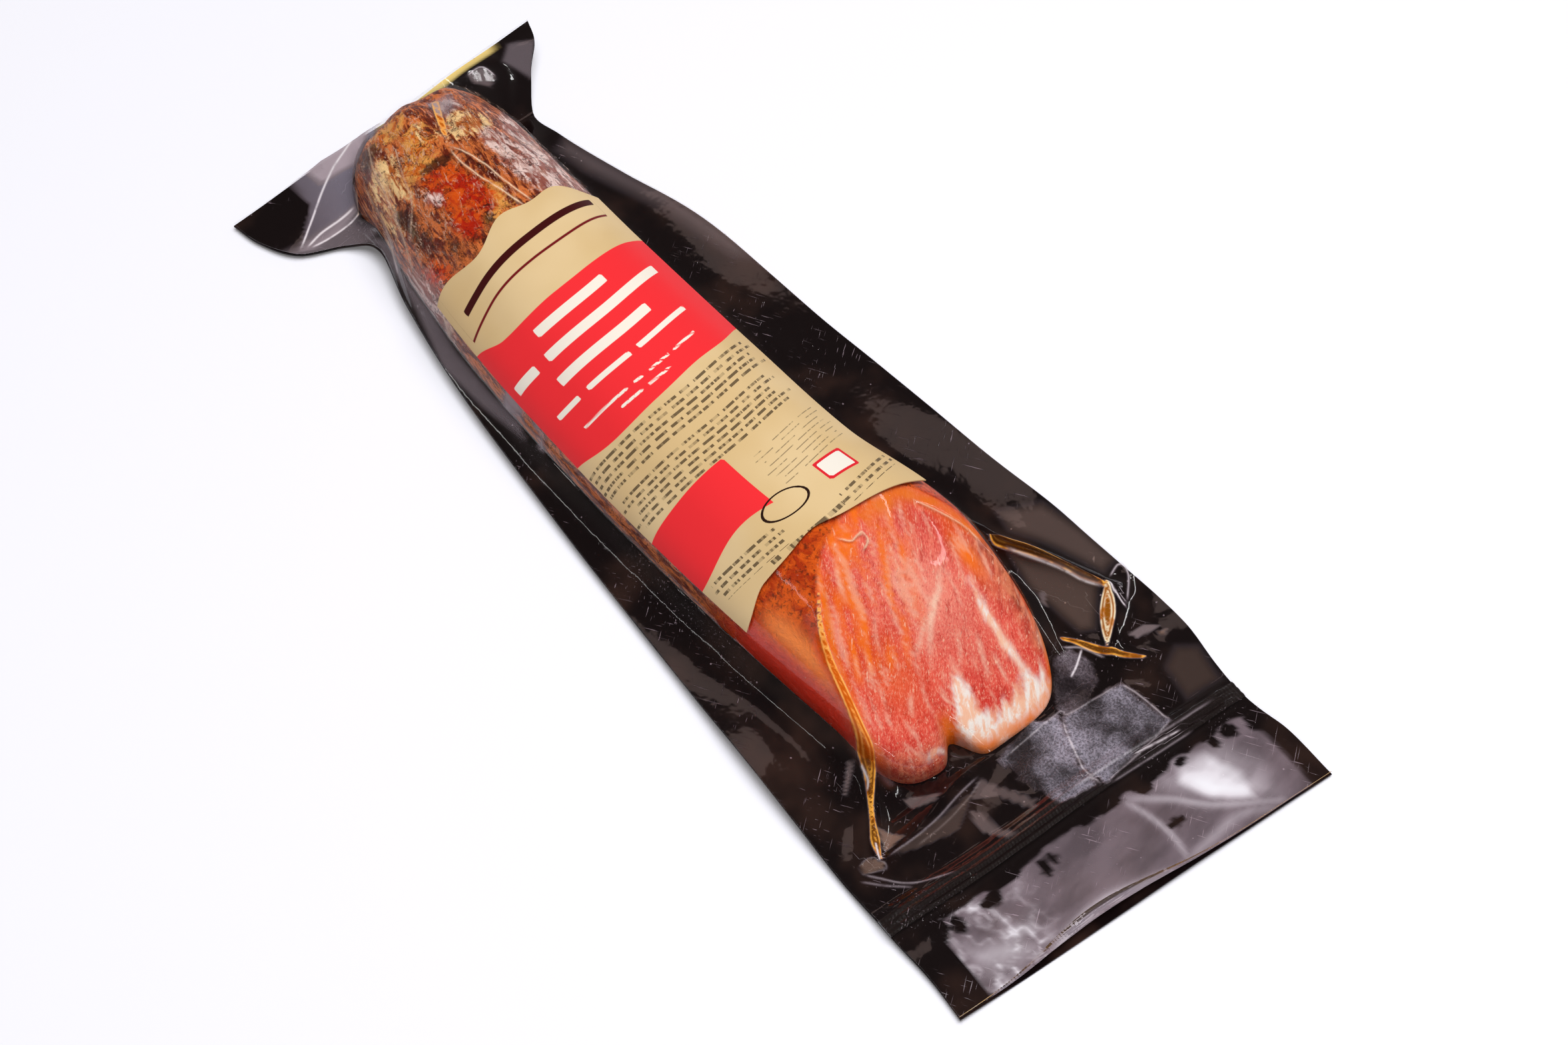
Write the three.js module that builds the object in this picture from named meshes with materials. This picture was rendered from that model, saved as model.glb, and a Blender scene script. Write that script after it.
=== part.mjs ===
// A vacuum-packed piece of cured pork loin: a black-backed pouch with a clear front, lying flat.
// Millimetres, +Z up. +X runs along the loin towards the zip and the mouth of the pouch,
// +Y runs across it towards the wide side flange. The origin is under the middle of the pouch.
// The clear front of the pouch and the meat that it is drawn down onto are one solid.
import * as THREE from "three";

// Driving dimensions of the pouch.
const ZIP_WIDTH = 150; // across the pouch, from side edge to side edge at the zip
const BACK_FILM = 0.8; // black film of the back
const CLEAR_FILM = 0.6; // clear film of the front
const GAP = 0.3; // between two pieces that lie on each other
const ZIP_X = 145; // the zip's middle line
const ZIP_SKEW = 0.03; // the zip's turn, as a slope across the pouch
const ZIP_HALF = 3.6; // half of the zip strip's width
const ZIP_RISE = 1.5; // thickness of the zip strip between its ribs
const ZIP_RIB = 0.9; // how far its ribs stand up

// Driving dimensions of the loin under the film.
const LOIN_TOP_X = -209; // the gathered end
const LOIN_TIP_X = 114; // the thin end of the slanting cut
const LOIN_END = 27; // length of the rounded end
const TIP_FALL = 14; // length over which the thin end comes down to the flange
const ROUNDNESS = 2.35; // of its section: 2 is an ellipse, more is squarer
const END_ROUNDNESS = 4; // of its blunt end, seen from above and from the side
const CUT_TOP_X = 35; // where the slanting cut leaves the top of the loin
const CUT_SLOPE = 0.549; // the cut falls at 29 degrees
const CUT_SKEW = 0.27; // the cut's turn, as a slope across the loin
const CUT_HEIGHT = 48; // height of the cut's upper edge
const CUT_ROLL = 4.3; // it is lower by this at its upper right, where the knife came out
const RIM_DEPTH = 4; // the film rounds off the cut's edge over this depth

// Driving dimensions of the label.
const LABEL_PAPER = 0.4;
const LABEL_TOP_X = -132;
const LABEL_FOOT_X = 32;
const LABEL_LEFT = -0.965; // edges across the crown, 1 being the side of the loin
const LABEL_RIGHT = 0.84;

// Middle line, half width and crown height of the loin at a few places along it.
const LOIN_SECTIONS = [
  { x: -209, y: -17.2, half: 31.8, crown: 38 },
  { x: -185, y: -16.7, half: 32.8, crown: 42 },
  { x: -155, y: -18.3, half: 35.7, crown: 46 },
  { x: -110, y: -19, half: 38.5, crown: 48.5 },
  { x: -50, y: -16.5, half: 40.5, crown: 49.5 },
  { x: 0, y: -12.5, half: 41.5, crown: 49.5 },
  { x: 40, y: -5.5, half: 44.5, crown: 48.5 },
  { x: 77, y: -4.5, half: 41, crown: 47 },
  { x: 100, y: -5, half: 38, crown: 46 },
  { x: 116, y: -5, half: 36, crown: 45 },
];

// Side edges of the pouch seen from above, left and right in pairs from the sealed end to the mouth.
const EDGE_PAIRS = [
  { left: [-220, -87], right: [-229, 49] },
  { left: [-208, -84], right: [-217, 45] },
  { left: [-195, -76], right: [-205, 36] },
  { left: [-187, -60], right: [-192, 28] },
  { left: [-175, -53.5], right: [-176, 30] },
  { left: [-150, -59], right: [-149, 38] },
  { left: [-110, -64.5], right: [-112, 49] },
  { left: [-50, -68.5], right: [-50, 57.3] },
  { left: [15, -71.5], right: [15, 64.5] },
  { left: [65, -73.8], right: [65, 72.3] },
  { left: [108, -ZIP_WIDTH / 2], right: [108, 77] },
  { left: [ZIP_X - 2.2, -ZIP_WIDTH / 2], right: [ZIP_X + 2.2, ZIP_WIDTH / 2] },
  { left: [165, -74], right: [168, 78.5] },
  { left: [182, -75], right: [190, 79] },
];

// Height of the sealed end's edge over the table, across the pouch.
const SEAL_HEIGHTS = [
  { y: -87, z: 1.5 },
  { y: -70, z: 3.5 },
  { y: -55, z: 8 },
  { y: -40, z: 16 },
  { y: -24, z: 23 },
  { y: -6, z: 24 },
  { y: 12, z: 19 },
  { y: 30, z: 12 },
  { y: 49, z: 9 },
];

const { clamp, lerp } = THREE.MathUtils;

// 0 below a, 1 above b, and a smooth S between them.
function ramp(v, a, b) {
  const k = clamp((v - a) / (b - a), 0, 1);
  return k * k * (3 - 2 * k);
}

const bell = (v, middle, width) => Math.exp(-(((v - middle) / width) ** 2));

// The lower of two heights, with the crease between them rounded over a depth.
function lowerOf(a, b, depth) {
  const near = Math.max(depth - Math.abs(a - b), 0) / depth;
  return Math.min(a, b) - (near * near * depth) / 4;
}

// A smooth curve through the table's values: cubic pieces whose slopes are those of the neighbours' chord.
function along(table, key, name, v) {
  const last = table.length - 1;
  const at = clamp(v, table[0][key], table[last][key]);
  let i = 0;
  while (i < last - 1 && at > table[i + 1][key]) i += 1;
  const slope = (k) => {
    const a = table[Math.max(k - 1, 0)];
    const b = table[Math.min(k + 1, last)];
    return (b[name] - a[name]) / (b[key] - a[key]);
  };
  const [p, q] = [table[i], table[i + 1]];
  const step = q[key] - p[key];
  const k = (at - p[key]) / step;
  const [k2, k3] = [k * k, k * k * k];
  return (
    (2 * k3 - 3 * k2 + 1) * p[name] +
    (k3 - 2 * k2 + k) * step * slope(i) +
    (3 * k2 - 2 * k3) * q[name] +
    (k3 - k2) * step * slope(i + 1)
  );
}

const centre = (x) => along(LOIN_SECTIONS, "x", "y", x);
const half = (x) => along(LOIN_SECTIONS, "x", "half", x);
const crown = (x) => along(LOIN_SECTIONS, "x", "crown", x);

// A superellipse's height over its half width.
function arch(t, power = ROUNDNESS) {
  return (1 - clamp(Math.abs(t), 0, 1) ** power) ** (1 / power);
}

// How far a place is into the rounded end: 0 where that starts, 1 at its tip and beyond.
const intoEnd = (x) => clamp((LOIN_TOP_X + LOIN_END - x) / LOIN_END, 0, 1);

// Half width seen from above, with the blunt end. The grid's columns keep to it past the tip.
const girth = (x) => half(x) * Math.max(arch(intoEnd(x), END_ROUNDNESS), 0.6);

// Place across the loin: -1 at its left side, 1 at its right side.
const across = (x, y) => (y - centre(x)) / girth(x);

// The film's side edges, which droop to the table in slow waves.
function edgeLift(x, y) {
  const left = 3.2 + 1.6 * Math.sin(x / 31);
  const right = 2.4 + 1.3 * Math.sin(x / 23 + 1);
  return (y < centre(x) ? left : right) * (1 - 0.75 * ramp(x, 100, 150));
}

// How high the flange stands where it meets the side of the loin.
const footLift = (x, y) => (y < centre(x) ? 11 : 9) * ramp(x, -200, -178) * (1 - ramp(x, 78, 116));

// The four tension folds of the film: ridges from one point to another, with a height at each end.
const FOLDS = [
  { from: [52, 40], to: [94, 66], height: [7, 5], width: 3.4 },
  { from: [94, 66], to: [112, 49], height: [5.5, 2], width: 3 },
  { from: [90, -38], to: [124, -64], height: [6, 4.5], width: 3.2 },
  { from: [126, -63], to: [116, -20], height: [4.5, 2.5], width: 4.5 },
];

function foldHeight(x, y) {
  let height = 0;
  for (const { from, to, height: ends, width } of FOLDS) {
    const [dx, dy] = [to[0] - from[0], to[1] - from[1]];
    const k = clamp(((x - from[0]) * dx + (y - from[1]) * dy) / (dx * dx + dy * dy), 0, 1);
    const away = Math.hypot(x - from[0] - k * dx, y - from[1] - k * dy);
    height = Math.max(height, (ends[0] + k * (ends[1] - ends[0])) * Math.exp(-away / width));
  }
  return height;
}

// Height over the table of the black film's upper face. It is flat under the loin, comes up its
// sides to the flange, droops to the edges and stands up at the sealed end.
function backTop(x, y) {
  const t = Math.abs(across(x, y));
  const beyond = Math.max(t - 1, 0) * girth(x);
  const reach = y < centre(x) ? 9 : 17;
  const side = footLift(x, y) * (t < 1 ? ramp(t, 0.66, 1.04) : Math.exp(-beyond / reach));
  const edge = edgeLift(x, y) * ramp(beyond, 4, 34) * ramp(x, -215, -180);
  const waves = 0.9 * (1 + Math.sin(x / 13 + y / 17)) * ramp(beyond, 6, 20) * ramp(x, 20, 60);
  const mouth = 1.6 * ramp(x, 118, 140) * (1 + Math.sin(y / 19 + 0.6)) * (1 - 0.5 * ramp(x, 150, 190));
  const ear = along(SEAL_HEIGHTS, "y", "z", y) * (1 - ramp(x, -216, -190));
  return BACK_FILM + Math.max(side, ear) + edge + waves * (1 - ramp(x, 118, 135)) + mouth;
}

const fromZip = (x, y) => x - ZIP_X - ZIP_SKEW * y;

// How far the clear film is lifted off the black one by the zip strip, and beside it as it comes down.
// The strip's three ribs are a cosine across it, and its ends are crushed flat by the side seams.
function overZip(x, y) {
  const away = Math.abs(fromZip(x, y));
  const whole = 1 - 0.6 * ramp(Math.abs(y), 0.44 * ZIP_WIDTH, 0.5 * ZIP_WIDTH);
  const ribs = ZIP_RIB * (0.5 + 0.5 * Math.cos((away / ZIP_HALF) * 3 * Math.PI));
  const beside = 1 - ramp(away, ZIP_HALF, ZIP_HALF + 3.5);
  return (ZIP_RISE * whole + GAP) * beside + (away < ZIP_HALF ? ribs * whole : 0);
}

// Past the zip the clear film stands off the black one, most at its free edge.
const mouthGap = (x, y) => 3 * bell(y, -8, 34) * ramp(x, 156, 188);

// The loin's thin end seen from above: two blunt lobes with a cleft between them.
function tipX(y) {
  const lobes = LOIN_TIP_X - 4.5 * (1 - ramp(y, -20, -10)) - 22 * Math.abs((y + 6) / 40) ** 6;
  return lobes - 9 * bell(y, -14, 4.2);
}

// Height of the slanting cut: a plane, rolled down at the upper right.
function cutHeight(x, y) {
  const roll = CUT_ROLL * ramp(y, 6, 25) * (1 - ramp(x, 44, 74));
  return CUT_HEIGHT - CUT_SLOPE * (x - CUT_TOP_X + CUT_SKEW * y) - roll;
}

// Knots and gathers of the casing at the tied end.
function gathers(x, y) {
  const near = 1 - ramp(x, -205, -168);
  return near * (1.3 * Math.sin(y / 3.1 + x / 19) + 0.9 * Math.sin(x / 6 + y / 9));
}

// Height of the clear film's lower face where no meat is under it.
const clearUnder = (x, y) => backTop(x, y) + GAP + overZip(x, y) + mouthGap(x, y);

// Height of the film drawn over the whole loin, before the cut.
function bodyHeight(x, y) {
  const base = backTop(x, y) + GAP + CLEAR_FILM;
  const end = arch(intoEnd(x), END_ROUNDNESS);
  return base + (crown(x) + gathers(x, y) - base) * arch(across(x, y)) * end;
}

// Height over the table of the clear front, as it lies on the meat and on the flange.
function frontTop(x, y) {
  const flange = clearUnder(x, y) + CLEAR_FILM;
  const tip = arch(clamp((x - tipX(y)) / TIP_FALL + 1, 0, 1), 3);
  const cut = flange + Math.max(cutHeight(x, y) - flange, 0) * tip;
  return Math.max(lowerOf(bodyHeight(x, y), cut, RIM_DEPTH), flange + foldHeight(x, y));
}

// Rows of the sheets' grid: places along the pouch, closer where the shape turns.
function rowPlaces() {
  const stretches = [
    [-226, -178, 9],
    [-178, -130, 4],
    [-130, 10, 7],
    [10, 27, 2],
    [27, 35, 1],
    [35, 95, 8],
    [95, 118, 5],
    [118, 136, 2],
    [136, ZIP_X - ZIP_HALF, 1],
    [ZIP_X - ZIP_HALF, ZIP_X + ZIP_HALF, 6],
    [ZIP_X + ZIP_HALF, 155, 1],
    [155, 192, 4],
  ];
  const places = [stretches[0][0]];
  for (const [from, to, steps] of stretches) {
    for (let k = 1; k <= steps; k += 1) places.push(from + ((to - from) * k) / steps);
  }
  return places;
}

// The edges' curves are read by their own length along X, so each has its y at a place.
const LEFT_EDGE = EDGE_PAIRS.map(({ left: [x, y] }, k) => ({ k, x, y }));
const RIGHT_EDGE = EDGE_PAIRS.map(({ right: [x, y] }, k) => ({ k, x, y }));

// The pair of edge points for a row, found as the pair number whose mean x is the row's place.
function edgePair(place) {
  let [low, high] = [0, EDGE_PAIRS.length - 1];
  const mean = (k) => (along(LEFT_EDGE, "k", "x", k) + along(RIGHT_EDGE, "k", "x", k)) / 2;
  for (let i = 0; i < 30; i += 1) {
    const middle = (low + high) / 2;
    if (mean(middle) < place) low = middle;
    else high = middle;
  }
  const point = (edge) => ["x", "y"].map((name) => along(edge, "k", name, low));
  return { left: point(LEFT_EDGE), right: point(RIGHT_EDGE) };
}

// Columns of the grid, as places across the loin: the steep sides get the most.
const CROWN_COLUMNS = 16;
const LEFT_COLUMNS = 3;
const RIGHT_COLUMNS = 6;
const COLUMN_SPREAD = 0.95; // under 1 the columns on the crown are closer to the sides
const FOOT = 1.015; // the outermost of them stand just clear of the meat, in half widths

// A column's place across the pouch at x, between the y of its two side edges.
function columnY(j, x, leftY, rightY) {
  const foot = girth(x) * FOOT;
  const overCrown = j - LEFT_COLUMNS;
  if (overCrown < 0) return lerp(leftY, centre(x) - foot, j / LEFT_COLUMNS);
  if (overCrown <= CROWN_COLUMNS) {
    const turn = (overCrown / CROWN_COLUMNS - 0.5) * Math.PI;
    return centre(x) + Math.sign(turn) * Math.abs(Math.sin(turn)) ** COLUMN_SPREAD * foot;
  }
  return lerp(centre(x) + foot, rightY, ((overCrown - CROWN_COLUMNS) / RIGHT_COLUMNS) ** 1.2);
}

// A row's x at y: a straight line between the edges, drawn in where the sealed end stands up,
// turned to follow the cut's upper edge, and straight along the zip.
function rowX(place, y, left, right) {
  const k = (y - left[1]) / (right[1] - left[1]);
  const drawn = 0.6 * (along(SEAL_HEIGHTS, "y", "z", y) - 2) * (1 - ramp(place, -226, -200));
  const turn = ramp(place, 5, 30) * (1 - ramp(place, 60, 100));
  const cut = -CUT_SKEW * y * turn * k * (1 - k) * 4;
  const square = ramp(place, 118, 136) * (1 - ramp(place, 155, 175));
  return lerp(lerp(left[0], right[0], k) + drawn + cut, place + ZIP_SKEW * y, square);
}

// One row of the grid: points from the left edge over the loin to the right edge. x and y depend
// on each other, and three passes settle them.
function gridRow(place) {
  const { left, right } = edgePair(place);
  return Array.from({ length: LEFT_COLUMNS + CROWN_COLUMNS + RIGHT_COLUMNS + 1 }, (_, j) => {
    const point = { x: place, y: 0 };
    for (let pass = 0; pass < 3; pass += 1) {
      point.y = columnY(j, point.x, left[1], right[1]);
      point.x = rowX(place, point.y, left, right);
    }
    return point;
  });
}

// A closed sheet from the points of its upper face and then its lower face, each n rows of m
// points. Both faces are split into triangles alike.
function closedSheet(positions, n, m) {
  const under = n * m;
  const index = [];
  const quad = (a, b, c, d) => index.push(a, b, c, a, c, d);
  for (let i = 0; i < n - 1; i += 1) {
    for (let j = 0; j < m - 1; j += 1) {
      const [a, b, c, d] = [i * m + j, (i + 1) * m + j, (i + 1) * m + j + 1, i * m + j + 1];
      quad(a, b, c, d);
      index.push(under + a, under + c, under + b, under + a, under + d, under + c);
    }
  }
  for (let i = 0; i < n - 1; i += 1) {
    const [a, b] = [i * m, (i + 1) * m];
    quad(a, under + a, under + b, b);
    quad(b + m - 1, under + b + m - 1, under + a + m - 1, a + m - 1);
  }
  for (let j = 0; j < m - 1; j += 1) {
    const end = (n - 1) * m + j;
    quad(j + 1, under + j + 1, under + j, j);
    quad(end, under + end, under + end + 1, end + 1);
  }
  return new THREE.BufferGeometry()
    .setAttribute("position", new THREE.Float32BufferAttribute(positions, 3))
    .setIndex(index);
}

// A closed sheet over part of the pouch's grid, from the heights of its two faces.
function sheet(rows, top, bottom) {
  const points = (height) => rows.flatMap((row) => row.flatMap(({ x, y }) => [x, y, height(x, y)]));
  return closedSheet([...points(top), ...points(bottom)], rows.length, rows[0].length);
}

// The clear film's free edge at the mouth is set back from the black film's.
const setBack = (y) => 0.6 + 6 * bell(y, -16, 30);

function clearRows(rows) {
  const last = rows.length - 1;
  return rows.map((row, i) => {
    const share = i === last ? 1 : 0;
    return row.map(({ x, y }) => ({ x: x - share * setBack(y), y }));
  });
}

// The label's upper and lower edges wave as they cross the loin.
const labelTop = (t) => LABEL_TOP_X - 5.5 * bell(t, 0.2, 0.45) + 2 * Math.sin(9 * t);
const labelFoot = (t) => LABEL_FOOT_X + 5 * ramp(-t, 0.7, 1) - 2.2 * bell(t, -0.22, 0.2);

// Place across the loin for an angle over its crown, and the angle for a place.
const placeAt = (angle) => Math.sign(Math.cos(angle)) * Math.abs(Math.cos(angle)) ** (2 / ROUNDNESS);
const angleOf = (t) => Math.acos(Math.sign(t) * Math.abs(t) ** (ROUNDNESS / 2));

// A point of the film's face under the label, from a place along and an angle over the crown.
function onCrown(x, angle) {
  const y = centre(x) + half(x) * placeAt(angle);
  return new THREE.Vector3(x, y, bodyHeight(x, y));
}

// A point of the label, lifted square off the film's face.
function onLabel(x, angle, lift) {
  const crosswise = onCrown(x, angle - 0.02).sub(onCrown(x, angle + 0.02));
  const lengthwise = onCrown(x + 0.5, angle).sub(onCrown(x - 0.5, angle));
  return onCrown(x, angle).addScaledVector(lengthwise.cross(crosswise).normalize(), lift);
}

function labelGeometry(lengthSteps, girthSteps) {
  const positions = [];
  for (const lift of [2 * GAP + LABEL_PAPER, 2 * GAP]) {
    for (let i = 0; i <= lengthSteps; i += 1) {
      for (let j = 0; j <= girthSteps; j += 1) {
        const angle = lerp(angleOf(LABEL_LEFT), angleOf(LABEL_RIGHT), j / girthSteps);
        const t = placeAt(angle);
        positions.push(...onLabel(lerp(labelTop(t), labelFoot(t), i / lengthSteps), angle, lift));
      }
    }
  }
  return closedSheet(positions, lengthSteps + 1, girthSteps + 1);
}

function piece(name, geometry, color, roughness) {
  const material = new THREE.MeshStandardMaterial({ color, roughness, metalness: 0 });
  const mesh = new THREE.Mesh(geometry, material);
  mesh.name = name;
  return mesh;
}

const rows = rowPlaces().map(gridRow);
const clearGrid = clearRows(rows);

// The zip strip takes the rows between its own two edges.
const onStrip = (row) => row.every(({ x, y }) => Math.abs(fromZip(x, y)) < ZIP_HALF + 0.01);
const stripRows = rows.filter(onStrip);

const backUnder = (x, y) => backTop(x, y) - BACK_FILM;
const stripTop = (x, y) => clearUnder(x, y) - GAP;
const stripUnder = (x, y) => backTop(x, y) + GAP;
const backFilm = piece("back_film", sheet(rows, backTop, backUnder), "#231614", 0.25);
const loin = piece("loin_in_clear_film", sheet(clearGrid, frontTop, clearUnder), "#b5533f", 0.15);
const label = piece("label", labelGeometry(16, 18), "#d2b98a", 0.45);
const strip = piece("zip_strip", sheet(stripRows, stripTop, stripUnder), "#2b1f1d", 0.35);

const group = new THREE.Group();
group.add(backFilm, loin, label, strip);

// The origin is under the middle of the pouch.
const box = new THREE.Box3().setFromObject(backFilm);
const middle = box.getCenter(new THREE.Vector3());
group.position.set(-middle.x, -middle.y, -box.min.z);

export default group;
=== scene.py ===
"""A vacuum-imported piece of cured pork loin: a black-backed pouch with a clear front, its printed
label and its press-shut zip, on a pale floor. Shapes are worked out in plan millimetres, with +X
along the loin to the pouch's mouth and +Y across it, and moved into the frame at the end."""

import bpy
import numpy as np
from mathutils import Matrix, Vector


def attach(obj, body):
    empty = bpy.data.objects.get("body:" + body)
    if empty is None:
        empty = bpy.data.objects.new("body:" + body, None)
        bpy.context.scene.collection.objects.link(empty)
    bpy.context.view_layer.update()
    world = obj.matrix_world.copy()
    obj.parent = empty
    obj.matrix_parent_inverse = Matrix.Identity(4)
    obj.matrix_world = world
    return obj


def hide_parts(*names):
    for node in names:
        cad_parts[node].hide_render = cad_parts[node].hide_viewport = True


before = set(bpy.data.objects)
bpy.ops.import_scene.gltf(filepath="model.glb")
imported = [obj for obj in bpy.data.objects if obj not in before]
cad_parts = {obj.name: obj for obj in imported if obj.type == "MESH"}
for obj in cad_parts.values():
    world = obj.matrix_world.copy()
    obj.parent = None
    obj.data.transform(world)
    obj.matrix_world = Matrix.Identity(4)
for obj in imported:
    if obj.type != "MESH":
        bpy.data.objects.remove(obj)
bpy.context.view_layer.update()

# The plan's zero in the frame, in millimetres, and the size of a millimetre.
PLAN_ZERO = (17.402, 4.078)
MM = 0.001

# Edges sharper than this, in degrees, show as edges.
SHARP_EDGE = 60

# Driving dimensions of the pouch.
ZIP_WIDTH = 150.0
BACK_FILM = 0.8
CLEAR_FILM = 0.6
GAP = 0.3
ZIP_X = 145.0
ZIP_SKEW = 0.03
ZIP_HALF = 3.6
ZIP_RISE = 1.5
ZIP_RIB = 0.9
ZIP_TOOTH = 1.3
ZIP_CLEAR = 0.1
FILM_WALL = 0.25

# The grid's first and last rows, and the row from which the clear film's edge is set back.
SEALED_END = -226.0
MOUTH = 192.0
SET_BACK_FROM = 182.75

# Driving dimensions of the loin under the film.
LOIN_TOP_X = -209.0
LOIN_TIP_X = 114.0
LOIN_END = 27.0
TIP_FALL = 14.0
ROUNDNESS = 2.35
END_ROUNDNESS = 4.0
CUT_TOP_X = 35.0
CUT_SLOPE = 0.549
CUT_SKEW = 0.27
CUT_HEIGHT = 48.0
CUT_ROLL = 4.3
RIM_DEPTH = 4.0
MEAT_INSET = 0.6
MEAT_OFF_FLOOR = 0.05
LEAST_MEAT = 0.15

# Driving dimensions of the label.
LABEL_PAPER = 0.4
LABEL_COCKLE = 0.12
DARK_BAR_HALF = 1.5
LABEL_TOP_X = -132.0
LABEL_FOOT_X = 32.0
LABEL_LEFT = -0.965
LABEL_RIGHT = 0.84
LABEL_HALF = 40.0
LABEL_LOW = 12.0
LABEL_RISE = 37.0

# Along the loin: place, middle line, half width and crown height.
LOIN_SECTIONS = np.array(
    [
        (-209, -17.2, 31.8, 38),
        (-185, -16.7, 32.8, 42),
        (-155, -18.3, 35.7, 46),
        (-110, -19, 38.5, 48.5),
        (-50, -16.5, 40.5, 49.5),
        (0, -12.5, 41.5, 49.5),
        (40, -5.5, 44.5, 48.5),
        (77, -4.5, 41, 47),
        (100, -5, 38, 46),
        (116, -5, 36, 45),
    ],
    float,
).T

# Side edges of the pouch in pairs, left x and y and right x and y, from the sealed end to the mouth.
EDGE_PAIRS = np.array(
    [
        (-220, -87, -229, 49),
        (-208, -84, -217, 45),
        (-195, -76, -205, 36),
        (-187, -60, -192, 28),
        (-175, -53.5, -176, 30),
        (-150, -59, -149, 38),
        (-110, -64.5, -112, 49),
        (-50, -68.5, -50, 57.3),
        (15, -71.5, 15, 64.5),
        (65, -73.8, 65, 72.3),
        (108, -75, 108, 77),
        (142.8, -75, 147.2, 75),
        (165, -74, 168, 78.5),
        (182, -75, 190, 79),
    ],
    float,
).T

# Height of the sealed end's edge, across the pouch.
SEAL_Y = (-87, -70, -55, -40, -24, -6, 12, 30, 49)
SEAL_Z = (1.5, 3.5, 8, 16, 23, 24, 19, 12, 9)

# The four tension folds of the film: from, to, height at each end and width.
FOLDS = (
    ((52, 40), (94, 66), (7, 5), 3.4),
    ((94, 66), (112, 49), (5.5, 2), 3.0),
    ((90, -38), (124, -64), (6, 4.5), 3.2),
    ((126, -63), (116, -20), (4.5, 2.5), 4.5),
)


def clamp(v, low=0.0, high=1.0):
    """v held between low and high."""
    return np.clip(v, low, high)


def lerp(a, b, k):
    """From a to b by a share k."""
    return a + (b - a) * k


def ramp(v, a, b):
    """0 below a, 1 above b, and a smooth S between them."""
    k = clamp((v - a) / (b - a))
    return k * k * (3 - 2 * k)


def bell(v, middle, width):
    """A hill of height 1: e to the minus square of the distance in widths."""
    return np.exp(-(((v - middle) / width) ** 2))


def lower_of(a, b, depth):
    """The lower of two heights, with the crease between them rounded over a depth."""
    near = np.maximum(depth - np.abs(a - b), 0) / depth
    return np.minimum(a, b) - near * near * depth / 4


def along(keys, values, v):
    """A smooth curve through the values at the keys: cubic pieces, sloped as their neighbours' chord."""
    keys = np.asarray(keys, float)
    values = np.asarray(values, float)
    ahead = np.minimum(np.arange(len(keys)) + 1, len(keys) - 1)
    behind = np.maximum(np.arange(len(keys)) - 1, 0)
    slope = (values[ahead] - values[behind]) / (keys[ahead] - keys[behind])
    at = np.clip(v, keys[0], keys[-1])
    i = np.clip(np.searchsorted(keys, at, side="right") - 1, 0, len(keys) - 2)
    step = keys[i + 1] - keys[i]
    k = (at - keys[i]) / step
    k2 = k * k
    k3 = k2 * k
    return (
        (2 * k3 - 3 * k2 + 1) * values[i]
        + (k3 - 2 * k2 + k) * step * slope[i]
        + (3 * k2 - 2 * k3) * values[i + 1]
        + (k3 - k2) * step * slope[i + 1]
    )


def clouds(x, y, size, seed):
    """Smooth random heights from -1 to 1: a grid of random numbers a size apart, blended by S-curves."""
    table = np.random.default_rng(seed).random((97, 89)) * 2 - 1
    u = x / size
    v = y / size
    i = np.floor(u).astype(int)
    j = np.floor(v).astype(int)
    s = u - i
    t = v - j
    s = s * s * (3 - 2 * s)
    t = t * t * (3 - 2 * t)

    def corner(a, b):
        return table[(i + a) % 97, (j + b) % 89]

    return lerp(lerp(corner(0, 0), corner(1, 0), s), lerp(corner(0, 1), corner(1, 1), s), t)


def rumple(x, y, size, seed, layers=3):
    """Clouds in layers, each half as large and half as high as the one before."""
    return sum(clouds(x, y, size / 2**k, seed + k) / 2**k for k in range(layers))


def crumple(x, y, size, seed):
    """Sharp creases between flat facets: 1 on a crease, falling straight to 0."""
    return 1 - np.abs(rumple(x, y, size, seed, 2)) / 1.2


def smooth_route(points, steps=8):
    """A route of points made into a smooth curve with a few steps between each two."""
    points = np.asarray(points, float)
    k = np.arange(len(points))
    fine = np.linspace(0, len(points) - 1, (len(points) - 1) * steps + 1)
    return np.stack([along(k, points[:, 0], fine), along(k, points[:, 1], fine)], 1)


def from_route(x, y, points, smooth=True):
    """Distance to a route, positive on its left; and how far along it the nearest point lies, 0 to 1."""
    route = smooth_route(points) if smooth and len(points) > 2 else np.asarray(points, float)
    lengths = np.hypot(*np.diff(route, axis=0).T)
    starts = np.concatenate([[0], np.cumsum(lengths)])
    nearest = np.full(np.shape(x), 1e9)
    share = np.zeros(np.shape(x))
    for (ax, ay), (bx, by), length, start in zip(route[:-1], route[1:], lengths, starts):
        dx, dy = bx - ax, by - ay
        k = clamp(((x - ax) * dx + (y - ay) * dy) / (length * length))
        away = np.hypot(x - ax - k * dx, y - ay - k * dy)
        side = np.where(dx * (y - ay) > dy * (x - ax), 1, -1)
        closer = away < np.abs(nearest)
        nearest = np.where(closer, away * side, nearest)
        share = np.where(closer, (start + k * length) / starts[-1], share)
    return nearest, share


def tapered(share, power=1.0):
    """1 at the middle of a route and 0 at its ends."""
    return np.sin(np.pi * clamp(share)) ** power


def line_mask(x, y, points, width, power=0.6):
    """A soft line along a route, thinning out to both ends."""
    away, share = from_route(x, y, points)
    return np.exp(-((away / width) ** 2)) * tapered(share, power)


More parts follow.
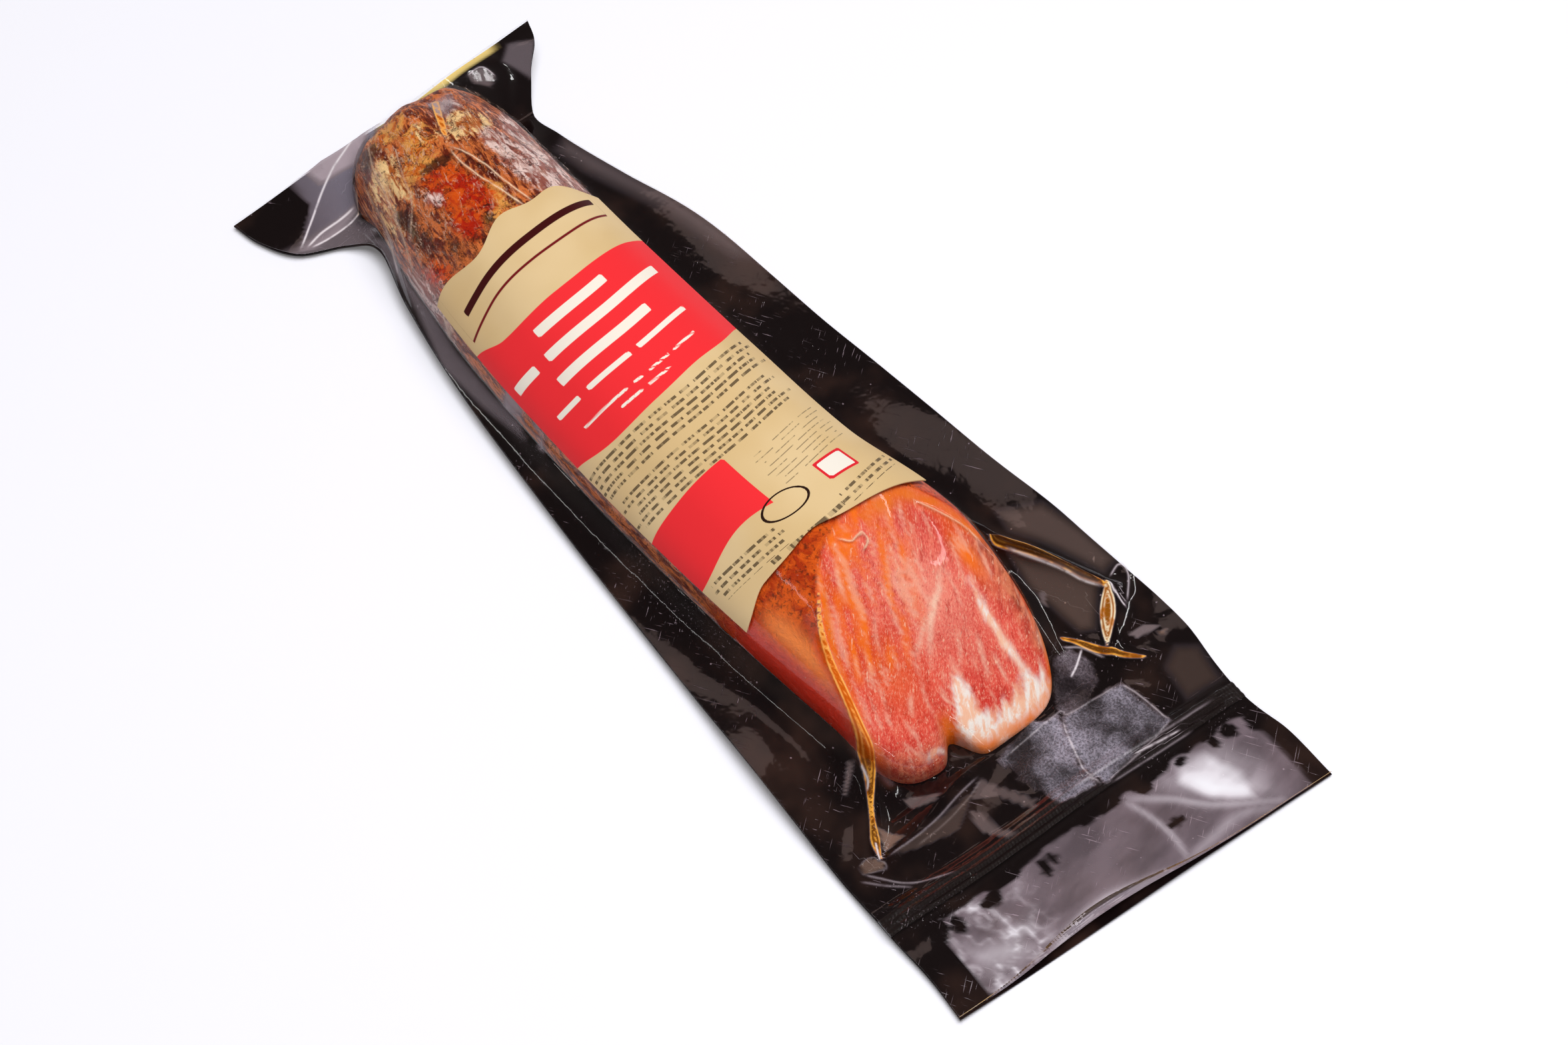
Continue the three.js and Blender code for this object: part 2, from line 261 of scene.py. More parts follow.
def inside(x, y, outline):
    """Distance in from a closed outline, negative outside it."""
    outline = np.asarray(outline, float)
    away = np.abs(from_route(x, y, np.vstack([outline, outline[:1]]), smooth=False)[0])
    odd = np.zeros(np.shape(x), bool)
    for (ax, ay), (bx, by) in zip(outline, np.roll(outline, -1, axis=0)):
        crosses = (ay > y) != (by > y)
        at = ax + (y - ay) * (bx - ax) / (by - ay if by != ay else 1e-9)
        odd ^= crosses & (x < at)
    return np.where(odd, away, -away)


def highest(shapes):
    """The greatest of some heights or masks at each place."""
    return np.maximum.reduce(list(shapes))


# The loin's middle line, half width and crown height along it.
def centre(x):
    """y of the loin's middle line."""
    return along(LOIN_SECTIONS[0], LOIN_SECTIONS[1], x)


def half_width(x):
    """Half the loin's width."""
    return along(LOIN_SECTIONS[0], LOIN_SECTIONS[2], x)


def crown(x):
    """Height of the loin's top."""
    return along(LOIN_SECTIONS[0], LOIN_SECTIONS[3], x)


def arch(t, power=ROUNDNESS):
    """A superellipse's height over its half width."""
    return (1 - clamp(np.abs(t)) ** power) ** (1 / power)


def into_end(x, inset=0.0):
    """How far a place is into the rounded end: 0 where that starts, 1 at its tip."""
    return clamp((LOIN_TOP_X + LOIN_END - x) / (LOIN_END - inset))


def girth(x, inset=0.0):
    """Half width seen from above, with the blunt end."""
    return half_width(x) * np.maximum(arch(into_end(x, inset), END_ROUNDNESS), 0.6) - inset


def across(x, y, inset=0.0):
    """Place across the loin: -1 at its left side, 1 at its right side."""
    return (y - centre(x)) / girth(x, inset)


def edge_lift(x, y):
    """The film's side edges droop to the table in slow waves."""
    left = 3.2 + 1.6 * np.sin(x / 31)
    right = 2.4 + 1.3 * np.sin(x / 23 + 1)
    return np.where(y < centre(x), left, right) * (1 - 0.75 * ramp(x, 100, 150))


def foot_lift(x, y):
    """How high the flange stands where it meets the side of the loin."""
    return np.where(y < centre(x), 11, 9) * ramp(x, -200, -178) * (1 - ramp(x, 78, 116))


def fold_height(x, y):
    """The highest of the tension folds: each falls off from its line as e to the minus distance."""
    heights = []
    for start, end, (h0, h1), width in FOLDS:
        away, share = from_route(x, y, (start, end))
        rounded = np.sqrt(away * away + 0.16) - 0.4
        heights.append(lerp(h0, h1, share) * np.exp(-rounded / width))
    return highest(heights)


def beyond_meat(x, y):
    """How far a place lies outside the loin's side, in millimetres."""
    return np.maximum(np.abs(across(x, y)) - 1, 0) * girth(x)


def swell(x, y):
    """Slow waves that both films share beside the loin, and crumples that grow towards the mouth."""
    beyond = np.where(x > LOIN_TIP_X, 20, beyond_meat(x, y))
    open_flange = ramp(beyond, 3, 16)
    slow = 0.55 * (1 + clouds(x, y, 27, 3)) * open_flange
    quick = 0.22 * (1 + rumple(x, y, 12, 8, 2)) * open_flange * ramp(x, 20, 120)
    return (slow + quick) * (1 - 0.7 * ramp(x, 148, 162))


def back_top(x, y):
    """Height of the black film's upper face: flat under the loin, up its sides to the flange,
    down to the edges and stood up at the sealed end."""
    t = np.abs(across(x, y))
    beyond = np.maximum(t - 1, 0) * girth(x)
    reach = np.where(y < centre(x), 9, 17)
    side = foot_lift(x, y) * np.where(t < 1, ramp(t, 0.66, 1.04), np.exp(-beyond / reach))
    edge = edge_lift(x, y) * ramp(beyond, 4, 34) * ramp(x, -215, -180)
    waves = 0.9 * (1 + np.sin(x / 13 + y / 17)) * ramp(beyond, 6, 20) * ramp(x, 20, 60)
    mouth = 1.6 * ramp(x, 118, 140) * (1 + np.sin(y / 19 + 0.6)) * (1 - 0.5 * ramp(x, 150, 190))
    ear = along(SEAL_Y, SEAL_Z, y) * (1 - ramp(x, -216, -190))
    height = BACK_FILM + np.maximum(side, ear) + edge + waves * (1 - ramp(x, 118, 135)) + mouth
    return height + swell(x, y)


def from_zip(x, y):
    """Distance from the zip's middle line, positive on the mouth's side. The line leans by ZIP_SKEW
    across the pouch."""
    return x - ZIP_X - ZIP_SKEW * y


def over_zip(x, y):
    """How far the zip strip lifts the clear film: three ribs as a cosine across it, crushed at its ends."""
    away = np.abs(from_zip(x, y))
    whole = 1 - 0.6 * ramp(np.abs(y), 0.44 * ZIP_WIDTH, 0.5 * ZIP_WIDTH)
    ribs = ZIP_RIB * (0.5 + 0.5 * np.cos(away / ZIP_HALF * 3 * np.pi))
    beside = 1 - ramp(away, ZIP_HALF, ZIP_HALF + 3.5)
    return (ZIP_RISE * whole + GAP) * beside + np.where(away < ZIP_HALF, ribs * whole, 0)


def mouth_gap(x, y):
    """Past the zip the clear film stands off the black one, most at its free edge."""
    return 3 * bell(y, -8, 34) * ramp(x, 156, 188)


def tip_x(y):
    """The loin's thin end seen from above: two blunt lobes with a cleft between them."""
    lobes = LOIN_TIP_X - 4.5 * (1 - ramp(y, -20, -10)) - 22 * np.abs((y + 6) / 40) ** 6
    return lobes - 9 * bell(y, -14, 4.2)


def cut_height(x, y):
    """The slanting cut: a plane, rolled down at the upper right."""
    roll = CUT_ROLL * ramp(y, 6, 25) * (1 - ramp(x, 44, 74))
    return CUT_HEIGHT - CUT_SLOPE * (x - CUT_TOP_X + CUT_SKEW * y) - roll


def gathers(x, y):
    """Knots and gathers of the casing at the tied end."""
    near = 1 - ramp(x, -205, -168)
    return near * (1.3 * np.sin(y / 3.1 + x / 19) + 0.9 * np.sin(x / 6 + y / 9))


def clear_under(x, y):
    """Height of the clear film's underside on the flanges: the black film, the gap between them, and
    what the zip and the mouth lift."""
    return back_top(x, y) + GAP + over_zip(x, y) + mouth_gap(x, y)


def body_height(x, y):
    """The film drawn over the whole loin, before the cut: an arch across times an arch at the end."""
    base = back_top(x, y) + GAP + CLEAR_FILM
    end = arch(into_end(x), END_ROUNDNESS)
    return base + (crown(x) + gathers(x, y) - base) * arch(across(x, y)) * end


def front_top(x, y):
    """Height of the clear front: the lower of the loin's body and its slanting cut, or the flange."""
    flange = clear_under(x, y) + CLEAR_FILM
    tip = arch(clamp((x - tip_x(y)) / TIP_FALL + 1), 3)
    cut = flange + np.maximum(cut_height(x, y) - flange, 0) * tip
    return np.maximum(lower_of(body_height(x, y), cut, RIM_DEPTH), flange + fold_height(x, y))


# The grid over the pouch.
COLUMN_SPREAD = 0.95
FOOT = 1.015
LEFT_COLUMNS = 28
CROWN_COLUMNS = 72
RIGHT_COLUMNS = 40


def places(*stretches):
    """Rows' places from (from, to, spacing) stretches that follow on from each other."""
    rows = [np.array([stretches[0][0]], float)]
    for start, end, spacing in stretches:
        steps = max(int(round((end - start) / spacing)), 1)
        rows.append(np.linspace(start, end, steps + 1)[1:])
    return np.concatenate(rows)


def edge_points(place):
    """Left and right edge points of each row: the pair number whose mean x is the row's place."""
    number = np.arange(EDGE_PAIRS.shape[1])
    fine = np.linspace(0, number[-1], 4001)
    mean = (along(number, EDGE_PAIRS[0], fine) + along(number, EDGE_PAIRS[2], fine)) / 2
    at = np.interp(place, mean, fine)
    return [along(number, values, at)[:, None] for values in EDGE_PAIRS]


def row_x(place, y, edges):
    """A row's x at y: straight between the edges, drawn in at the sealed end, turned to follow
    the cut's upper edge, and straight along the zip."""
    left_x, left_y, right_x, right_y = edges
    k = (y - left_y) / (right_y - left_y)
    drawn = 0.6 * (along(SEAL_Y, SEAL_Z, y) - 2) * (1 - ramp(place, SEALED_END, -200))
    turn = ramp(place, 5, 30) * (1 - ramp(place, 60, 100))
    cut = -CUT_SKEW * y * turn * k * (1 - k) * 4
    square = ramp(place, 118, 136) * (1 - ramp(place, 155, 175))
    return lerp(lerp(left_x, right_x, k) + drawn + cut, place + ZIP_SKEW * y, square)


def pouch_grid(place, left=LEFT_COLUMNS, over=CROWN_COLUMNS, right=RIGHT_COLUMNS):
    """x and y of a grid over the whole pouch. Columns run by even angles over the loin, so its
    steep sides get the most, and almost evenly over both flanges. Four passes settle x and y."""
    place = np.asarray(place, float)[:, None]
    edges = edge_points(place[:, 0])
    outer = np.arange(left) / left
    turn = (np.arange(over + 1) / over - 0.5) * np.pi
    bend = np.sign(turn) * np.abs(np.sin(turn)) ** COLUMN_SPREAD
    inner = (np.arange(1, right + 1) / right) ** 1.1
    x = place + np.zeros((1, left + over + 1 + right))
    for _ in range(4):
        foot = girth(x) * FOOT
        left_foot = (centre(x) - foot)[:, :left]
        on_loin = slice(left, left + over + 1)
        right_foot = (centre(x) + foot)[:, left + over + 1 :]
        loin = centre(x)[:, on_loin] + bend * foot[:, on_loin]
        y = np.hstack([lerp(edges[1], left_foot, outer), loin, lerp(right_foot, edges[3], inner)])
        x = row_x(place, y, edges)
    return x, y


def closed_sheet(name, top, bottom, masks=None, print_mm=None):
    """A mesh of two faces over one grid of points, with a wall round the rim. Masks are one number
    a vertex, and print_mm holds the two coordinates in which a print is laid out."""
    n, m = top.shape[:2]
    under = n * m
    number = np.arange(under).reshape(n, m)
    a, b, c, d = number[:-1, :-1], number[1:, :-1], number[1:, 1:], number[:-1, 1:]
    faces = [np.stack([a, b, c, d], -1).reshape(-1, 4), under + np.stack([a, d, c, b], -1).reshape(-1, 4)]
    rim = np.concatenate([number[:, 0], number[-1, 1:], number[-2::-1, -1], number[0, -2:0:-1]])
    ahead = np.roll(rim, -1)
    faces.append(np.stack([rim, under + rim, under + ahead, ahead], -1))
    faces = np.concatenate(faces)
    points = np.concatenate([top.reshape(-1, 3), bottom.reshape(-1, 3)])
    points = (points + (*PLAN_ZERO, 0)) * MM

    mesh = bpy.data.meshes.new(name)
    mesh.vertices.add(len(points))
    mesh.vertices.foreach_set("co", points.astype(np.float32).ravel())
    mesh.loops.add(faces.size)
    mesh.loops.foreach_set("vertex_index", faces.astype(np.int32).ravel())
    mesh.polygons.add(len(faces))
    mesh.polygons.foreach_set("loop_start", np.arange(0, faces.size, 4, dtype=np.int32))
    mesh.polygons.foreach_set("use_smooth", np.ones(len(faces), bool))
    for mask, values in (masks or {}).items():
        values = np.broadcast_to(values, (n, m))
        layer = mesh.attributes.new(mask, "FLOAT", "POINT")
        layer.data.foreach_set("value", np.concatenate([values.ravel()] * 2).astype(np.float32))
    if print_mm is not None:
        layer = mesh.uv_layers.new(name="print")
        flat = np.stack([v.ravel() for v in print_mm], -1) * MM
        uv = np.concatenate([flat, flat])[faces.ravel()]
        layer.data.foreach_set("uv", uv.astype(np.float32).ravel())
    mesh.update(calc_edges=True)
    mesh.validate()
    mesh.set_sharp_from_angle(angle=np.radians(SHARP_EDGE))
    made = bpy.data.objects.new(name, mesh)
    bpy.context.scene.collection.objects.link(made)
    return made


def grid_points(x, y, z):
    """Points of a grid from its three coordinates."""
    return np.stack([x, y, z], -1)


# Features of the film, as routes and outlines in the plan. These first ones are in more than one
# table, for a crease and for the painted glint along it or the patch of painted reflection in it.
TIED_LEFT = ((-174.2, -19.9), (-166, -20.4), (-156.2, -19.4), (-146.5, -17), (-134, -14))
TIED_RIGHT = ((-175.5, -19.4), (-168.1, -16.7), (-158.3, -14.6), (-147.2, -13.3), (-134, -10.5))
CUT_HOOK = ((37, -12), (40.5, -8), (39.5, -3.5), (43, -3), (45, -7.5), (43, -11))
LONG_RIDGE = ((118.3, -14.5), (120.5, -26.5), (123, -37.4), (124.3, -49.6), (124.7, -59.9))
CRESCENT = ((122.7, -69.3), (128.3, -66), (134.3, -59.8), (138.5, -52.1), (141.6, -43.6))
NEAR_CORNER = ((120.3, -67.8), (120.7, -64.3), (125.3, -61.4), (127.4, -62.5), (124.2, -68.2))
SIDE_PEAK = ((88.8, 67), (86.3, 73.8), (91.4, 73.6), (99.7, 65.9))
FROST_FOOT = ((119, 21), (126, 17.5), (141, 12.5), (148, 14))
EAR_SPOT = ((-212, 12.9), (-213.6, 20.3), (-208.8, 23.3), (-206.4, 19), (-209.2, 13.4))

# Creases at the tied end, round the cut and on the flanges: route, height and width.
UPPER_CREASES = (
    (TIED_RIGHT, 1.2, 1.0),
    (TIED_LEFT, 1.0, 0.9),
    (((-204, -31), (-198, -37), (-185, -41), (-176, -43), (-166, -48), (-152, -55)), 1.1, 0.9),
    (((-196, -42), (-182, -48), (-168, -51), (-154, -56), (-142, -60)), 0.9, 0.8),
    (((-191, -50), (-178, -52.5), (-166, -54.5), (-152, -59)), 0.8, 0.7),
    (((-194, -30), (-184, -33.5), (-174, -36), (-164, -43), (-154, -47)), 0.7, 0.9),
    (((-168, -40), (-161, -46), (-151, -50.5), (-141, -54)), 0.9, 0.7),
    (((-189, 2), (-176, 8), (-163, 11), (-150, 14)), 0.6, 0.8),
    (((-182, -24), (-171, -27), (-160, -33), (-150, -38)), 0.4, 0.7),
)
CUT_CREASES = (
    (CUT_HOOK, 0.9, 0.7),
    (((50, -32), (58, -35.5), (68, -39), (78, -41.5), (90, -41.5)), 1.0, 0.9),
    (((36, 20), (44, 26.5), (52, 31.5), (62, 33)), 0.8, 0.9),
)
FLANGE_CREASES = (
    (((98, 40), (104, 46), (111.5, 50.5), (119, 57), (127, 61)), 1.6, 1.3),
    (LONG_RIDGE, 1.6, 1.2),
    (CRESCENT, 1.0, 1.5),
    (NEAR_CORNER[:3], 0.8, 1.0),
    (SIDE_PEAK, 1.1, 1.3),
    (((100, 33), (107, 41), (115, 39.5), (120, 31)), 1.1, 1.2),
    (((100, 33), (108, 27), (117, 21)), 0.8, 1.4),
    (FROST_FOOT, 0.8, 1.2),
    (((121, 45), (132, 48), (143, 48)), 0.7, 1.4),
    (((110, -39.5), (118, -30), (127, -27)), 0.9, 3.0),
    (((126, -12), (134, -8), (138, -9)), 0.9, 2.6),
    (((120, -28), (128, -26), (136, -27), (142, -21)), 0.8, 2.4),
    (((112, 63), (109, 59), (113, 68)), 0.7, 2.0),
    (((132, -58), (137, -52), (140, -46)), 0.8, 1.8),
)

# Outlines of the dry places beside the tip, the first a faint one.
FROST_PATCHES = (
    ((116, 21), (101, 32), (100, 39), (108, 42), (115, 40), (120, 31), (119, 24)),
    ((119, 21.5), (121, 45), (143, 48), (146, 34), (148, 15), (141, 13), (130, 16)),
    ((118, -5), (113.5, 12), (117, 20.5), (127, 17), (140, 12), (147, 12.5), (144, -1), (130, -4.5)),
)

# Wet spots along the zip: x, y and half sizes.
WET_SPOTS = (
    (153.4, 52.7, 2.6, 2.2), (155.9, 61.8, 3.4, 4.0), (157.3, 54.9, 3.0, 2.4), (155.8, 41.3, 2.2, 3.2),
    (172.4, 25.2, 1.5, 3.2), (155, 24, 3.6, 3.4), (154, 12, 2.2, 5.0), (153, 2, 3.0, 4.0),
    (156.4, -15, 4.4, 3.0), (157.4, -19, 4.0, 2.4), (155, -42, 3.0, 5.0), (155.3, -53.8, 4.4, 4.5),
    (152, -60, 6.0, 4.0), (152, 33, 2.0, 6.0), (152, -30, 2.4, 5.0), (160, 70, 5.0, 3.0),
)


def creases(x, y, table):
    """Thin ridges of film along routes, each with a height and a width."""
    return highest(
        height * np.exp(-np.abs(away) / width) * tapered(share, 0.5)
        for route, height, width in table
        for away, share in [from_route(x, y, route)]
    )


def under_label(x, y):
    """1 where the label lies on the film, and 0 a few millimetres outside it."""
    t = across(x, y)
    lengthwise = ramp(x, LABEL_TOP_X - 8, LABEL_TOP_X - 1) * (1 - ramp(x, LABEL_FOOT_X, LABEL_FOOT_X + 6))
    return lengthwise * (1 - ramp(t, 0.86, 0.93)) * ramp(t, -1.03, -0.98)


def film_relief(x, y):
    """Wrinkles of the clear film over its plain form: creases at the tied end, round the cut and
    on the flange, fine crumples past the loin and serrations over the zip's ribs."""
    upper = creases(x, y, UPPER_CREASES) * (1 - ramp(x, -150, -132))
    cut = creases(x, y, CUT_CREASES)
    flange = creases(x, y, FLANGE_CREASES) * ramp(x, 60, 75)
    t = np.abs(across(x, y))
    casing = 0.2 * (1 + rumple(x / 2.2, y, 4.5, 21)) * (1 - ramp(x, -150, -130)) * (1 - ramp(t, 1, 1.1))
    foot = bell(t, 1.03, 0.07) * 0.5 * (1 + clouds(x, y, 9, 31)) * (1 - ramp(x, 100, 116))
    past = ramp(x, 104, 120) * (1 - ramp(x, 134, 139))
    fine = 0.35 * past * crumple(x, y, 15, 40) ** 2
    on_zip = np.abs(from_zip(x, y)) < ZIP_HALF
    teeth = 0.12 * np.sin(y * 2 * np.pi / ZIP_TOOTH) * on_zip
    flap = ramp(x, 152, 160)
    loose = flap * (0.35 * (1 + clouds(x, y, 30, 51)) + 0.12 * crumple(x, y, 21, 55) ** 3)
    ear = (1 - ramp(x, -205, -190)) * 0.8 * crumple(x, y, 19, 61) ** 2
    tubes = 0.6 * np.sqrt(np.maximum(into_folds(x, y)[0], 0))
    relief = highest([upper, cut, flange, tubes]) + casing + foot + fine + teeth + loose + ear
    return relief * (1 - under_label(x, y))


# The clear film.
def set_back(y):
    """The clear film's free edge at the mouth lies behind the black film's."""
    return 0.6 + 6 * bell(y, -16, 30)


def frost_mask(x, y):
    """Where the clear film lies dry on the black one, in patches with crisp edges."""
    ragged = 0.7 * rumple(x, y, 4, 71)
    near, *rest = (ramp(inside(x, y, outline) + ragged, -0.3, 0.7) for outline in FROST_PATCHES)
    return highest([0.38 * near, *rest])


def veil_mask(x, y):
    """The loose flap past the zip, less its side seams and the wet spots along the zip."""
    ragged = 1.2 * rumple(x, y, 7, 81)
    left = ramp(y + ragged * 0.4, -62.5, -61)
    right = 1 - ramp(y + ragged * 0.4, 69.5, 71.5)
    start = ramp(from_zip(x, y) + 1.3 * ragged, 8.5, 10)
    dry = np.ones(np.shape(x))
    for spot_x, spot_y, long, wide in WET_SPOTS:
        spot = np.hypot((x - spot_x) / long, (y - spot_y) / wide) + 0.35 * ragged
        dry = dry * ramp(spot, 0.85, 1.1)
    return left * right * start * dry


# Folds and tubes of film filled with amber oil: route, half widths along it and how golden it is.
OIL_FOLDS = (
    (((56.5, 44.5), (65.4, 50.5), (77.5, 56.7), (84.4, 59.7), (91.5, 63.5)), (3.4, 3.0, 2.3, 1.7, 0.4), 0.2),
    (((90.5, 64.5), (95, 61), (99.8, 57), (104, 53.3), (108, 50)), (0.5, 2.0, 2.5, 1.7, 0.3), 1.0),
    (((96.4, 39.6), (100.4, 42.9), (108.6, 47.6), (114, 52), (119.2, 57)), (0.5, 1.0, 1.1, 0.9, 0.4), 0.5),
    (((48, -28), (56, -33.5), (66, -37.5), (77, -39.8), (88, -42)), (0.3, 0.8, 1.1, 1.3, 1.5), 0.6),
    (
        ((88, -42), (95.5, -44), (101, -47.6), (107, -52), (113.5, -56.2), (119.5, -59.6), (123.5, -61.3)),
        (1.5, 2.1, 1.5, 0.8, 0.9, 1.5, 0.5),
        0.6,
    ),
    (((-197.1, -10.2), (-191.8, -12.5), (-185.8, -14.9), (-178.9, -18)), (1.2, 1.2, 1.1, 0.6), 0.7),
)


def into_folds(x, y):
    """Distance into the nearest oily fold from its edges, and how golden that fold is."""
    depth = np.full(np.shape(x), -9.0)
    golden = np.zeros(np.shape(x))
    for route, widths, gold in OIL_FOLDS:
        away, share = from_route(x, y, route)
        within = along(np.linspace(0, 1, len(widths)), widths, share) - np.abs(away)
        golden = np.where(within > depth, gold, golden)
        depth = np.maximum(within, depth)
    return depth, golden


# Painted glints: bright lines along sharp creases, in two sets so that lines side by side stay apart.
GLINTS = (
    (TIED_RIGHT, 0.9),
    (((-203.6, -36.3), (-192.2, -41.7), (-181.7, -44.2), (-164.2, -49.2), (-150, -54)), 0.5),
    (((-195.3, -75.1), (-209.9, -52.9), (-216.1, -29.4)), 0.9),
    (((-198.5, -48.1), (-196.6, -47.6), (-195.1, -51.7), (-194.1, -63.4), (-194.3, -70.6)), 0.9),
    (CUT_HOOK[:5], 0.8),
    (((37, 20), (44, 26), (52, 31), (60, 33)), 0.6),
    (((89.7, 65.5), (96.3, 64), (101.2, 64.5)), 1.0),
    (((93, -45.5), (98.5, -46.8), (101.5, -49.2)), 0.9),
    (((118, -59), (121, -60.5), (124, -61.8)), 0.9),
    (SIDE_PEAK, 0.6),
    (LONG_RIDGE, 0.3),
    (((103.1, 43), (106.5, 38), (109, 33)), 0.9),
    (((118.5, -5), (116.5, 21), (119, 24), (121, 45)), 0.35),
    (((143, 48), (146, 34), (148, 15)), 0.4),
    (CRESCENT, 0.35),
)
MORE_GLINTS = (
    (TIED_LEFT, 0.9),
    (((-194, -45.6), (-183.5, -48.1), (-170.4, -51.1), (-158.7, -55.6)), 0.45),
    (((-190.8, -32.5), (-178.9, -37.2), (-168.1, -41.1), (-157.9, -49.5)), 0.4),
    (((-195.2, -71.8), (-197.4, -63.6), (-198.1, -54.6), (-198.5, -48.1)), 0.9),
    (EAR_SPOT[:3], 0.6),
    (((-134.3, -53.7), (-127.6, -56.4), (-122.1, -56)), 0.5),
    (((98.7, 37.4), (103.1, 43), (111, 46.7)), 0.5),
    (((60, 43.5), (67, 47.9), (78.4, 54.7), (85.1, 58.2), (91.5, 62.9)), 0.8),
    (((121, 45), (132, 47), (143, 48)), 0.5),
    (((145.7, 28.5), (147, 40.2), (147.8, 48.7)), 0.8),
    (((142.9, 4), (143.8, 24), (144.9, 46), (145.6, 66)), 0.35),
    (((149, 16), (149.8, 32), (150.4, 52)), 0.3),
    (FROST_FOOT, 0.5),
    (((119.6, -14), (123, -24), (125.4, -37), (126.4, -49)), 0.16),
    (NEAR_CORNER, 0.2),
    (((125, -71), (131, -66), (137, -58)), 0.3),
)


def nearest_line(x, y, table):
    """Distance across the nearest of some lines, positive on its left, and how strong it is there."""
    nearest = np.full(np.shape(x), 9.0)
    strength = np.zeros(np.shape(x))
    for route, amount in table:
        away, share = from_route(x, y, route)
        closer = np.abs(away) < np.abs(nearest)
        nearest = np.where(closer, away, nearest)
        strength = np.where(closer, amount * ramp(share, 0, 0.12) * (1 - ramp(share, 0.88, 1)), strength)
    return nearest, strength


# Patches of painted reflection on the film: outline, softness of its edge, amount and warmth.
REFLECTION_PATCHES = (
    (((109.6, -40.5), (110.7, -37.5), (115.9, -29.3), (117.4, -32.8), (114.5, -40.5)), 0.8, 0.3, 0.5),
    (
        ((125.7, -26.1), (129.6, -22.6), (137.3, -22.2), (143.2, -19.2), (142.5, -23.2), (134.3, -27.6)),
        0.8, 0.28, 0.5,
    ),
    (
        ((119.4, -15.3), (137.4, -6.5), (140.2, -8.3), (136.2, -11.1), (128.4, -14.8), (123.3, -23)),
        0.8, 0.25, 0.5,
    ),
    (((88.4, -47.3), (91.2, -46.5), (98.2, -55.9), (96, -55)), 0.6, 0.3, 0.4),
    (
        (
            (-176, 30), (-160, 36), (-130, 46), (-108, 51), (-90, 53), (-96, 46), (-128, 38),
            (-158, 26), (-172, 23),
        ),
        8, 0.2, 0.3,
    ),
    (((125.1, -57.9), (127.1, -48.4), (129.7, -32.7), (121.5, -20), (123.6, -40)), 0.6, 0.14, 0.8),
    (((113, -54.8), (121.1, -49.1), (122.5, -58.1)), 0.6, 0.55, 1),
    (NEAR_CORNER, 0.6, 0.4, 1),
    (((109, 58.1), (109.7, 65.6), (113.4, 69.5), (113.1, 65), (112.3, 59.9)), 0.6, 0.4, 0.3),
    (((114.5, 66.8), (115.3, 70.3), (117.4, 67.2)), 0.6, 0.5, 1),
    (((79, 43.5), (79.9, 46.3), (84.8, 42.7), (82.7, 41.6)), 0.6, 0.3, 0.4),
    (((45, 53), (52, 68), (69, 73), (84, 75), (86, 67), (70, 60), (54, 51)), 6, 0.2, 0.8),
    (((62, 44), (77, 55), (89, 62), (101, 51), (98, 46), (76, 42)), 5, 0.2, 0.9),
    (((122, 68), (127, 75), (141, 73), (140, 58), (126, 60)), 5, 0.12, 0.9),
    (
        (
            (-184, -54), (-174, -50), (-153, -54), (-137, -55), (-121, -57.5), (-99, -58), (-82, -57),
            (-76, -60), (-99, -63), (-121, -64), (-147, -58), (-174, -54),
        ),
        2.5, 0.3, 0,
    ),
    (((-93.5, -58.4), (-92.4, -54.8), (-82.7, -53.4), (-80.9, -57.6)), 0.8, 0.6, 0),
    (((-74.8, -56.3), (-72.3, -55.3), (-67.3, -57.5), (-69.8, -58.6)), 0.8, 0.5, 0),
    (
        (
            (-200, -85), (-198, -74), (-199, -47), (-192, -50), (-179, -49), (-179, -54),
            (-184, -62), (-189, -74),
        ),
        5, 0.32, 0,
    ),
    (EAR_SPOT, 1, 0.3, 0.3),
    (((-219, 35.6), (-218, 38.9), (-214.8, 45.4), (-202.9, 35.4), (-213, 28.7)), 2, 0.25, 0),
    (((-223, -56), (-226, -26), (-215, -26), (-208, -40), (-211, -54)), 3, 0.72, 0),
    (((-200, -14), (-198, -3), (-191, -4), (-188, -12)), 3, 0.45, 0.2),
)


def reflection_patch_mask(x, y):
    """How strong the painted reflection is, and how warm the strongest patch is there."""
    dull = np.zeros(np.shape(x))
    warm = np.zeros(np.shape(x))
    for outline, soft, amount, warmth in REFLECTION_PATCHES:
        here = amount * ramp(inside(x, y, outline), -0.3 * soft, 0.7 * soft)
        warm = np.where(here > dull, warmth, warm)
        dull = np.maximum(here, dull)
    return dull, warm


# The loose flap's painted highlights: outline, softness and strength; and its painted pale lines, with
# widths.
FLAP_LIGHTS = (
    (((153, 38), (162, 33), (174, 40), (184, 53), (172, 58.5), (157, 51.5)), 5.5, 1.0),
    (((153, 30), (160, 27), (184, 48), (189, 62), (172, 65), (156, 58)), 12, 0.5),
    (((156, -61), (163, -52), (168, -40), (180, -36), (184, -60), (170, -63)), 9, 0.35),
)
FLAP_LINES = (
    (((155.3, 16.8), (165.4, 29.8), (175, 39.6), (188.5, 60.5)), 1.7, 0.34),
    (((155.9, 16.3), (165, 19.3), (175.7, 20.8), (185.8, 19.2)), 1.3, 0.34),
    (((187, -42), (181, -28.4), (179.8, -13.2), (182.8, 0.2), (187.2, 15)), 2.4, 0.46),
    (((186, 16), (184, 30), (183, 44), (188, 56)), 2.0, 0.25),
)


